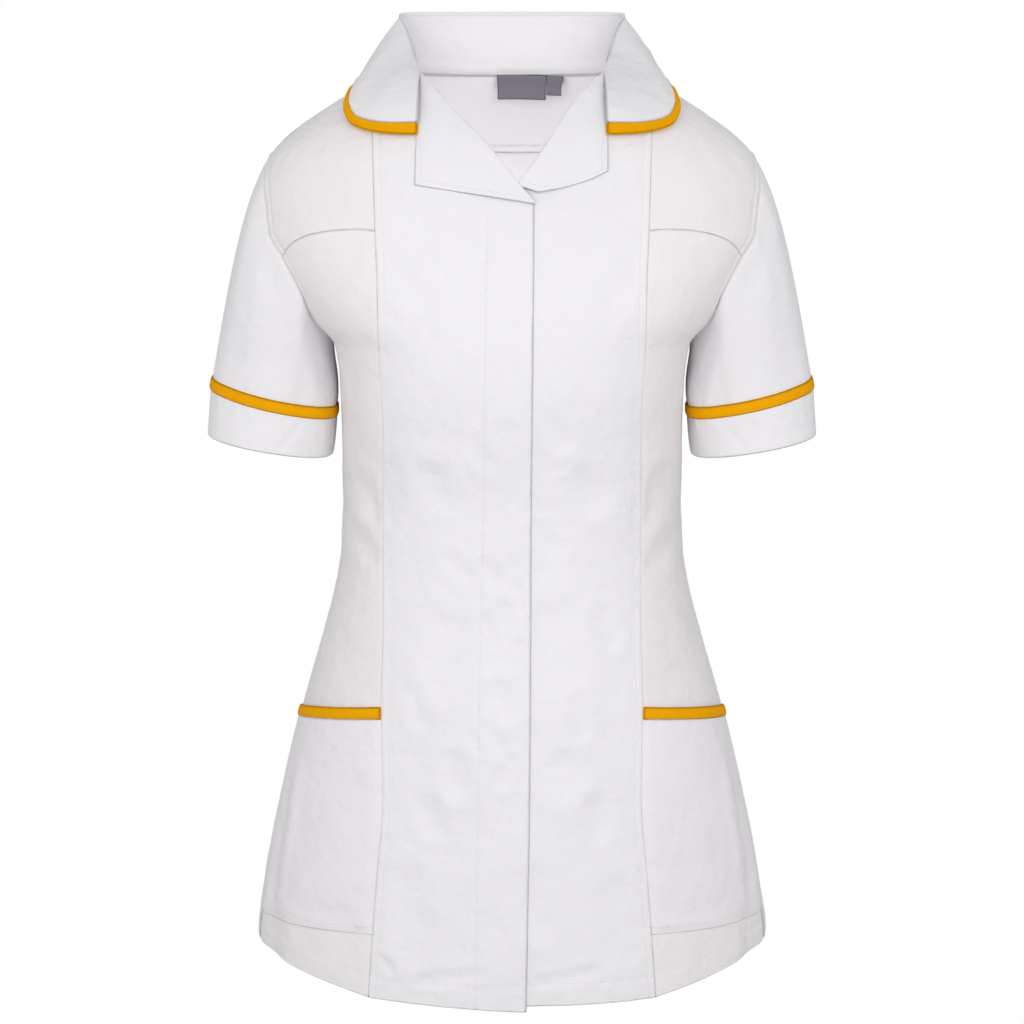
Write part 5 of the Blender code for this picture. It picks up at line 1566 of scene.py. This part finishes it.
def over_fold(cloth, fall, shares):
    """The stand's cloth carried on over the collar's fold, until it sinks into the fall."""
    places = np.concatenate([shares, 2.0 - shares[:-1][::-1]])
    marks = np.linspace(0.0, 2.0, fall.points.shape[1])
    ahead = fall.points[-1] - fall.points[-2]
    ahead = unit(ahead - fall.normals[-1] * np.sum(ahead * fall.normals[-1], axis=1, keepdims=True))
    edge, out, ahead = [points_at(places, marks, values)
                        for values in (fall.points[-1], fall.normals[-1], ahead)]
    points, normals = [cloth.points], [cloth.normals]
    for degrees in range(165, 24, -20):
        a = math.radians(degrees)
        radius = FOLD_RADIUS - THIN + blend(-0.0003, 0.0003, ease((degrees - 25.0) / 80.0))
        away = out * math.cos(a) + ahead * math.sin(a)
        points.append((edge - out * FOLD_RADIUS + away * radius)[None])
        normals.append(-away[None])
    return Cloth(np.concatenate(points), np.concatenate(normals))


def make_stand(fall):
    """The collar's inner part, from the neck seam up over the fold, with its stitched ridge."""
    fold = spline(FOLD_LINE)
    spots = []
    roll_height, roll_reach = RIGHT_ROLL[0]
    for t in (0.0, 0.5, 1.0):
        angle = blend(front_angle(roll_reach, roll_height), math.pi / 2.0, t)
        spots.append(smooth_body(angle, blend(roll_height, NECK_SIDE, ease(t))))
    for step in range(1, 7):
        angle = math.pi / 2.0 + math.pi / 2.0 * step / 6.0
        spots.append(smooth_body(angle, neck_seam_height(angle)))
    shares = np.linspace(STAND_SKIP, 1.0, 90)
    seam = along_line(spline(spots), shares) + np.array([0.0, 0.0, STAND_CLEAR])
    top = along_line(fold, shares)
    inward = -unit(top * np.array([1.0, 1.0, 0.0]))
    under = top - np.array([0.0, 0.0, STAND_DROP]) + inward * STAND_LEAN
    rows = np.array([mirrored(blend(seam, under, t)) for t in np.linspace(0.0, 1.0, 26)])
    cloth = Cloth(rows, grid_directions(rows))
    below = cloth.bottom - STAND_RIDGE
    step = STAND_RIDGE_RISE * step_at(cloth.bottom, STAND_RIDGE, 0.0024)
    step = step * (0.85 + 0.15 * ease(cloth.bottom / 0.004))
    near_ends = close_to(np.minimum(cloth.first, cloth.last), 0.035)
    wrinkle = (0.0002 + 0.0006 * near_ends) * ripple(cloth.first, 0.3, 0.011) * close_to(below, 0.006)
    cloth.lift(-(step + dip(below, STAND_VALLEY) + wrinkle + sway(cloth, 1.9, STAND_SWAY)))
    lean = ease((cloth.bottom - cloth.bottom[-1:] + STAND_TOP_WIDTH) / STAND_TOP_WIDTH)[..., None]
    cloth.points = cloth.points - mirrored(inward)[None] * STAND_TOP_LEAN * lean
    shown = over_fold(tucked(cloth, "bottom", 0.0016, 0.0), fall, shares)
    make_piece("collar_stand", cloth, shown)
    lines = []
    for distance in (STAND_RIDGE, STAND_STITCH):
        points, up = line_on(cloth, "bottom", distance)
        lines.append((points - up * 0.0010, -up))
    stitching("collar_stand_stitching", lines, white_thread())


def make_lapel(side_name, side, shape, roll_at):
    """A lapel folded back on its front, carried round the roll line."""
    across, down = 46, 60
    t = np.linspace(0.0, 1.0, down + 1)[:, None]
    u = np.linspace(0.0, 1.0, across + 1)[None, :]
    outer_height = blend(shape.notch[0], shape.corner[0], t)
    outer = blend(shape.notch[1], shape.corner[1], t)
    inner_height = blend(shape.gorge[0], shape.break_height, t)
    below_gorge = roll_at(blend(shape.gorge[0], shape.break_height, GORGE_SHARE))
    at_gorge = blend(shape.gorge[1] + LAPEL_CLEAR, below_gorge, t / GORGE_SHARE)
    inner = np.where(t < GORGE_SHARE, at_gorge, roll_at(inner_height)) - LAPEL_CLEAR
    inner = np.maximum(inner, LAPEL_REACH)
    height = blend(outer_height, inner_height, u)
    lift = CLOTH + LAPEL_STANDOFF + LAPEL_ROLL * ease(u)
    if side > 0.0:
        height = height + LAPEL_SAG_AT(u) * t
        lift = lift - lap_sink(blend(outer, inner, u))
    angle = front_angle(blend(outer, inner, u), height)
    cloth = Cloth(*body_point(side * angle, height, lift))
    edge = np.minimum(cloth.first, cloth.top)
    cloth.lift(dip(edge, LAPEL_EDGE) + dip(edge - EDGE_STITCH, LAPEL_VALLEY))
    soft = 0.0005 * np.sin(cloth.bottom * 70.0) * ease(cloth.first / 0.02)
    cloth.lift(dip(cloth.bottom, GORGE_EDGE) + soft)
    turned = rolled(cloth.points.transpose(1, 0, 2), cloth.normals.transpose(1, 0, 2), LAPEL_RADIUS)
    fold = Cloth(*[grid.transpose(1, 0, 2) for grid in turned])
    sewn = tucked(fold, "bottom", 0.0025, 0.0005)
    make_piece("lapel_" + side_name, fold, sewn, COLLAR_SHOWN)
    lines = [line_on(fold, "first", EDGE_STITCH), line_on(fold, "top", EDGE_STITCH, 0.004, 0.006)]
    stitching("lapel_%s_stitching" % side_name, lines, white_thread())


# ---------------------------------------------------------------- sleeves


def sleeve_ring(ring, turn, side):
    """Points of one of the sleeve's lower rings."""
    centre = 0.5 * (ring.outer + ring.inner)
    reach = 0.5 * (ring.outer - ring.inner)
    across = -np.cos(turn)
    x = centre + reach * across
    y = -ring.half_depth * np.sign(np.sin(turn)) * np.abs(np.sin(turn)) ** SLEEVE_SQUARE - SLEEVE_FORWARD
    z = 0.5 * (ring.outer_height + ring.inner_height)
    z = z + 0.5 * (ring.outer_height - ring.inner_height) * across
    z = z - ring.dip * np.maximum(np.sin(turn), 0.0)
    return np.stack([side * x, y, z], axis=-1)


def sleeve_grid(side):
    """Rings of points from the armhole down to the sleeve's hem, and the row numbers of its parts."""
    half = 600
    angle, height = armhole_at(np.linspace(0.0, 2.0 * ARMHOLE_TIP, 2 * half + 1))
    line = smooth_body(side * angle, height)
    run = lengths_of(line)
    tip_run = run[half]
    turns = np.where(run <= tip_run, math.pi * run / tip_run,
                     math.pi + math.pi * (run - tip_run) / (run[-1] - tip_run))
    turn = np.linspace(0.0, 2.0 * math.pi, SLEEVE_COLUMNS, endpoint=False)
    loop = points_at(turn, turns, line)
    underarm, tip = line[0], line[half]
    away = np.cross([0.0, 1.0, 0.0], unit(underarm - tip))
    away = away if away[0] * side > 0.0 else -away
    down = unit(np.array([side * SLEEVE_FLARE, -SLEEVE_LEAN_FORWARD, -1.0]))
    start = loop + away * SLEEVE_START_GAP
    end, below, hem = [sleeve_ring(ring, turn, side)
                       for ring in (TRIM_TOP_RING, TRIM_BOTTOM_RING, HEM_RING)]
    high = ease((loop[:, 2] - underarm[2]) / (tip[2] - underarm[2]))
    lean = unit(away * blend(UNDERARM_LEAN, TIP_LEAN, high)[:, None] + np.array([0.0, 0.0, -1.0]))
    span = np.linalg.norm(end - start, axis=1)[:, None]
    first = start + lean * span * SLEEVE_HEAD_REACH
    second = end - down * span * SLEEVE_HEM_REACH
    rows = []
    for t in np.linspace(0.0, 1.0, SLEEVE_ROWS):
        rest = 1 - t
        row = start * rest ** 3 + first * 3 * t * rest ** 2
        rows.append(row + second * 3 * t * t * rest + end * t ** 3)
    trim_row = len(rows) - 1
    rows += [blend(end, below, step / SLEEVE_TRIM_STEPS) for step in range(1, SLEEVE_TRIM_STEPS + 1)]
    cuff_row = len(rows) - 1
    rows += [blend(below, hem, step / CUFF_STEPS) for step in range(1, CUFF_STEPS + 1)]
    points = np.array(rows)
    normals = grid_directions(points, True)
    return points, -normals if side > 0.0 else normals, trim_row, cuff_row


def sleeve_folds(points, trim_row, turn):
    """How far the soft folds lift the cloth of a sleeve."""
    steps = np.linalg.norm(np.diff(points, axis=0), axis=2)
    down = np.concatenate([np.zeros((1, points.shape[1])), np.cumsum(steps, axis=0)])
    share = down / down[trim_row][None]
    lift = np.zeros_like(down)
    for fold in SLEEVE_FOLDS:
        near = close_to(turn - fold.turn - SLEEVE_FOLD_TURN * (share - 0.5), fold.width)
        grown = ease((share - fold.top) / SLEEVE_FOLD_FADE)
        lift = lift - fold.depth * near * grown * ease((fold.low - share) / SLEEVE_FOLD_FADE)
    wave = 0.0006 * np.sin(3.0 * turn + 5.0 * share) * ease(share / 0.2)
    return SLEEVE_FOLD_STRENGTH * lift + wave


def make_sleeve(side_name, side):
    """Set-in sleeve, its amber trim and its turned cuff."""
    points, normals, trim_row, cuff_row = sleeve_grid(side)
    turn = np.linspace(0.0, 2.0 * math.pi, SLEEVE_COLUMNS, endpoint=False)[None, :]
    points = points + normals * sleeve_folds(points, trim_row, turn)[..., None]
    cloth, trim, cuff = [Cloth(points[rows], normals[rows], True) for rows in (
        slice(trim_row + 1), slice(trim_row, cuff_row + 1), slice(cuff_row, None))]
    at_armhole = plain_seam(cloth.bottom, cloth.first, 0.6 + side, SLEEVE_SEAM)
    cloth.lift(at_armhole + dip(cloth.top, SLEEVE_END))
    cloth.lift(puckers(cloth.top - 0.004, cloth.first, 1.2 + side, SLEEVE_PUCKER))
    make_piece("sleeve_" + side_name, cloth, tucked(cloth, "bottom"))
    near = np.minimum(trim.bottom, trim.top)
    trim.lift(SLEEVE_TRIM_STANDS + dip(near, TRIM_EDGE) + 0.00012 * ripple(trim.first, side, 0.008))
    make_trim("sleeve_trim_" + side_name, trim, SLEEVE_STITCH)
    cuff.lift(dip(cuff.bottom, CUFF_TOP) + dip(cuff.top, CUFF_HEM))
    cuff.lift(puckers(cuff.bottom, cuff.first, 2.2 + side, CUFF_PUCKER))
    diagonal = close_to(turn - 1.0 - 12.0 * cuff.bottom, 0.09)
    cuff.lift(-0.0009 * diagonal * ease(cuff.bottom / 0.006))
    make_piece("cuff_band_" + side_name, cuff, thickness=DOUBLE)


# ---------------------------------------------------------------- pockets


def make_pocket(side_name, side):
    """Patch pocket let into the princess and side seams, with its trimmed mouth."""
    place, _rows = side_front_lower_place()
    bottom, mouth, top = level_row("pocket_bottom"), level_row("pocket_mouth"), level_row("trim_top")

    def gape(cloth, low, high, thickness):
        share = np.linspace(low, high, cloth.first.shape[0])[:, None]
        across = cloth.first / cloth.first[:, -1:]
        open_by = POCKET_GAPE * ease((share - bottom) / (mouth - bottom)) * np.sin(math.pi * across)
        return POCKET_AIR + thickness + open_by

    cloth = panel(place, mouth, side, POCKET_GRID, low=bottom,
                  lift=lambda grid: gape(grid, bottom, mouth, CLOTH))
    edge = np.minimum(cloth.first, cloth.last)
    into_seam = (POCKET_AIR + CLOTH) * close_to(edge, POCKET_SEAM_WIDTH)
    into_seam = into_seam * (1.0 + 0.15 * ripple(cloth.bottom, side, 0.014))
    cloth.lift(-np.maximum(into_seam, POCKET_FOOT * close_to(cloth.bottom, POCKET_FOOT_WIDTH)))
    cloth.lift(dip(cloth.bottom - POCKET_STITCH, POCKET_VALLEY))
    across, up = cloth.first / cloth.first[:, -1:], cloth.bottom / cloth.bottom[-1:]
    valley = 0.0009 * close_to(across - 0.86 + 0.10 * up, 0.05)
    crest = 0.0022 * close_to(across - 0.74 + 0.10 * up, 0.06)
    cloth.lift((crest - valley) * ease(up / 0.15) * ease((0.9 - up) / 0.3))
    for dimple in POCKET_DIMPLES:
        x = (across - dimple.across) / dimple.half_width
        y = (up - dimple.up) / dimple.half_height
        cloth.lift(-dimple.depth * np.exp(-x ** 2 - y ** 2))
    cloth.lift(0.0008 * np.sin(4.0 * across + 7.0 * up + side) * np.sin(math.pi * across))
    sewn = tucked(tucked(cloth, "first"), "last")
    # The pocket takes the cloth copy with a painted lilac shade.
    make_piece("pocket_" + side_name, cloth, sewn, material=white_cloth("pocket"))
    trim = panel(place, top, side, TRIM_GRID, low=mouth,
                 lift=lambda grid: gape(grid, mouth, top, BINDING))
    near = np.minimum(trim.bottom, trim.top)
    trim.lift(dip(near, TRIM_EDGE) + 0.0001 * ripple(trim.first, side, 0.008))
    make_trim("pocket_trim_" + side_name, trim, SLEEVE_STITCH)
    base, base_up = line_on(cloth, "bottom", POCKET_STITCH)
    tack = slice(2, 8)
    lines = [(base, base_up)]
    for shift in (-POCKET_TACK_SPREAD, 0.0, POCKET_TACK_SPREAD):
        lines.append((base[tack] + np.array([0.0, 0.0, shift]), base_up[tack]))
    stitching("pocket_%s_stitching" % side_name, lines, white_thread())


# ---------------------------------------------------------------- stage


def seen_white(tree, lights, seen, output):
    """Show one shader to the camera and let another one light the garment."""
    path = tree.nodes.new("ShaderNodeLightPath")
    choose = tree.nodes.new("ShaderNodeMixShader")
    tree.links.new(path.outputs["Is Camera Ray"], choose.inputs[0])
    tree.links.new(lights.outputs[0], choose.inputs[1])
    tree.links.new(seen.outputs[0], choose.inputs[2])
    tree.links.new(choose.outputs[0], tree.nodes[output].inputs["Surface"])


def stage_material():
    """Plain pale floor: white where the camera sees it, dimmer as a source of bounced light."""
    material = bpy.data.materials.new("pale_floor")
    material.use_nodes = True
    tree = material.node_tree
    shader = tree.nodes["Principled BSDF"]
    shader.inputs["Roughness"].default_value = 0.9
    seen_white(tree, shader, tree.nodes.new("ShaderNodeEmission"), "Material Output")
    where = tree.nodes.new("ShaderNodeTexCoord")
    patches = noise_node(tree, where.outputs["Object"], 3.0, 2.0)
    mix_colours(tree, patches, (0.66, 0.66, 0.665), (0.71, 0.71, 0.71), shader)
    return material


def make_floor():
    """A wide pale floor."""
    half = 30.0
    mesh = bpy.data.meshes.new("floor")
    mesh.from_pydata([(-half, -half, FLOOR_HEIGHT), (half, -half, FLOOR_HEIGHT), (half, half, FLOOR_HEIGHT),
                      (-half, half, FLOOR_HEIGHT)], [], [(0, 1, 2, 3)])
    mesh.materials.append(stage_material())
    floor = bpy.data.objects.new("floor", mesh)
    bpy.context.scene.collection.objects.link(floor)


def make_world(strength):
    """Soft white surroundings that show pure white behind the garment."""
    world = bpy.data.worlds.new("white_room")
    world.use_nodes = True
    tree = world.node_tree
    back = tree.nodes["Background"]
    back.inputs["Color"].default_value = (1.0, 1.0, 1.0, 1.0)
    back.inputs["Strength"].default_value = strength
    seen = tree.nodes.new("ShaderNodeBackground")
    seen.inputs["Color"].default_value = (1.0, 1.0, 1.0, 1.0)
    seen_white(tree, back, seen, "World Output")
    bpy.context.scene.world = world


def make_light(name, place, target, size, power):
    """A large soft light that looks at a point."""
    data = bpy.data.lights.new(name, "AREA")
    data.shape = "RECTANGLE"
    data.size, data.size_y = size
    data.energy = power
    light = bpy.data.objects.new(name, data)
    light.location = place
    ahead = unit(np.array(target) - np.array(place))
    light.rotation_euler = (math.acos(-ahead[2]), 0.0, math.atan2(-ahead[0], ahead[1]))
    bpy.context.scene.collection.objects.link(light)


def make_camera():
    """The photograph's camera: about 2.3 m away, looking 9 degrees down."""
    data = bpy.data.cameras.new("photo_camera")
    data.sensor_width = SENSOR_WIDTH
    data.sensor_fit = "HORIZONTAL"
    data.lens = FOCAL_PIXELS / PHOTO_PIXELS * SENSOR_WIDTH
    data.clip_end = 200.0
    camera = bpy.data.objects.new("photo_camera", data)
    camera.location = (0.0, -2.30, 0.010)
    camera.rotation_euler = (math.radians(80.8), 0.0, 0.0)
    bpy.context.scene.collection.objects.link(camera)
    bpy.context.scene.camera = camera


# ---------------------------------------------------------------- add-on


class TunicColours(bpy.types.PropertyGroup):
    """Colours of the cloth, trim and labels."""

    cloth: bpy.props.FloatVectorProperty(
        name="Cloth", description="Colour of the tunic's cloth", subtype="COLOR", size=3,
        min=0.0, max=1.0, default=(0.885, 0.868, 0.890))
    trim: bpy.props.FloatVectorProperty(
        name="Trim", description="Colour of the collar, sleeve and pocket trims", subtype="COLOR", size=3,
        min=0.0, max=1.0, default=(0.93, 0.42, 0.0008))
    label: bpy.props.FloatVectorProperty(
        name="Labels", description="Colour of the two bare neck labels", subtype="COLOR", size=3,
        min=0.0, max=1.0, default=(0.215, 0.205, 0.240))


class TunicStudio(bpy.types.PropertyGroup):
    """Strength of the studio light."""

    surroundings: bpy.props.FloatProperty(
        name="Surroundings", description="Brightness of the white surroundings", min=0.0, default=0.56)
    front_power: bpy.props.FloatProperty(
        name="Front lights", description="Power of each of the two lights beside the camera", min=0.0,
        default=6.5, subtype="POWER")
    side_power: bpy.props.FloatProperty(
        name="Side lights", description="Power of each of the two side lights", min=0.0, default=5.6,
        subtype="POWER")
    neck_power: bpy.props.FloatProperty(
        name="Neck light", description="Power of the small light that brightens the inside of the neck",
        min=0.0, default=0.19, subtype="POWER")


class TUNIC_OT_fronts(bpy.types.Operator):
    """Make the centre fronts and side fronts"""

    bl_idname = "tunic.fronts"
    bl_label = "Fronts"

    def execute(self, context):
        for side_name, side in SIDES:
            make_centre_front(side_name, side)
            make_side_fronts(side_name, side)
        return {"FINISHED"}


class TUNIC_OT_backs(bpy.types.Operator):
    """Make the centre back and side backs"""

    bl_idname = "tunic.backs"
    bl_label = "Backs"

    def execute(self, context):
        make_back()
        for side_name, side in SIDES:
            make_side_back(side_name, side)
        return {"FINISHED"}


class TUNIC_OT_neck(bpy.types.Operator):
    """Make the back neck facing and the bare labels"""

    bl_idname = "tunic.neck"
    bl_label = "Neck facing and labels"

    def execute(self, context):
        make_neck_facing()
        for label in LABELS:
            make_label(label)
        return {"FINISHED"}


class TUNIC_OT_collar(bpy.types.Operator):
    """Make the collar, its trim and stand, and the lapels"""

    bl_idname = "tunic.collar"
    bl_label = "Collar and lapels"

    def execute(self, context):
        make_collar()
        make_lapel("right", -1.0, RIGHT_LAPEL, RIGHT_ROLL_AT)
        make_lapel("left", 1.0, LEFT_LAPEL, LEFT_ROLL_AT)
        return {"FINISHED"}


class TUNIC_OT_sleeves(bpy.types.Operator):
    """Make the sleeves, their trims and their cuffs"""

    bl_idname = "tunic.sleeves"
    bl_label = "Sleeves"

    def execute(self, context):
        for side_name, side in SIDES:
            make_sleeve(side_name, side)
        return {"FINISHED"}


class TUNIC_OT_pockets(bpy.types.Operator):
    """Make the patch pockets and their trimmed mouths"""

    bl_idname = "tunic.pockets"
    bl_label = "Pockets"

    def execute(self, context):
        for side_name, side in SIDES:
            make_pocket(side_name, side)
        return {"FINISHED"}


class TUNIC_OT_stage(bpy.types.Operator):
    """Make the floor, the light and the camera"""

    bl_idname = "tunic.stage"
    bl_label = "Stage"

    def execute(self, context):
        studio = context.scene.tunic_studio
        make_floor()
        make_world(studio.surroundings)
        for side_name, side in SIDES:
            make_light("front_light_" + side_name, (side * 0.62, -1.55, 0.06), (0.0, 0.0, -0.15), (0.8, 0.9),
                       studio.front_power)
            make_light("side_light_" + side_name, (side * 2.2, -1.2, 0.2), (0.0, 0.0, -0.20), (1.2, 1.6),
                       studio.side_power)
        make_light("neck_light", (0.0, -0.045, -0.150), (0.0, 0.10, -0.175), (0.12, 0.05), studio.neck_power)
        make_camera()
        context.scene.view_settings.view_transform = "Standard"
        return {"FINISHED"}


class TUNIC_PT_panel(bpy.types.Panel):
    """The tunic's pieces, in the order in which they are made"""

    bl_idname = "TUNIC_PT_panel"
    bl_label = "Medical tunic"
    bl_space_type = "VIEW_3D"
    bl_region_type = "UI"
    bl_category = "Tunic"

    def draw(self, context):
        layout = self.layout
        for name in ("cloth", "trim", "label"):
            layout.prop(context.scene.tunic_colours, name)
        for name in ("surroundings", "front_power", "side_power", "neck_power"):
            layout.prop(context.scene.tunic_studio, name)
        for maker in PIECE_MAKERS:
            layout.operator(maker.bl_idname)


PIECE_MAKERS = (TUNIC_OT_fronts, TUNIC_OT_backs, TUNIC_OT_neck, TUNIC_OT_collar, TUNIC_OT_sleeves,
                TUNIC_OT_pockets, TUNIC_OT_stage)
CLASSES = (TunicColours, TunicStudio, *PIECE_MAKERS, TUNIC_PT_panel)


def register():
    """Make the add-on's classes known."""
    for item in CLASSES:
        bpy.utils.register_class(item)
    bpy.types.Scene.tunic_colours = bpy.props.PointerProperty(type=TunicColours)
    bpy.types.Scene.tunic_studio = bpy.props.PointerProperty(type=TunicStudio)


def unregister():
    """Take the add-on's classes away again."""
    del bpy.types.Scene.tunic_studio
    del bpy.types.Scene.tunic_colours
    for item in reversed(CLASSES):
        bpy.utils.unregister_class(item)


def main():
    """Make every piece."""
    register()
    for maker in PIECE_MAKERS:
        group, name = maker.bl_idname.split(".")
        getattr(getattr(bpy.ops, group), name)()


if __name__ == "__main__":
    main()
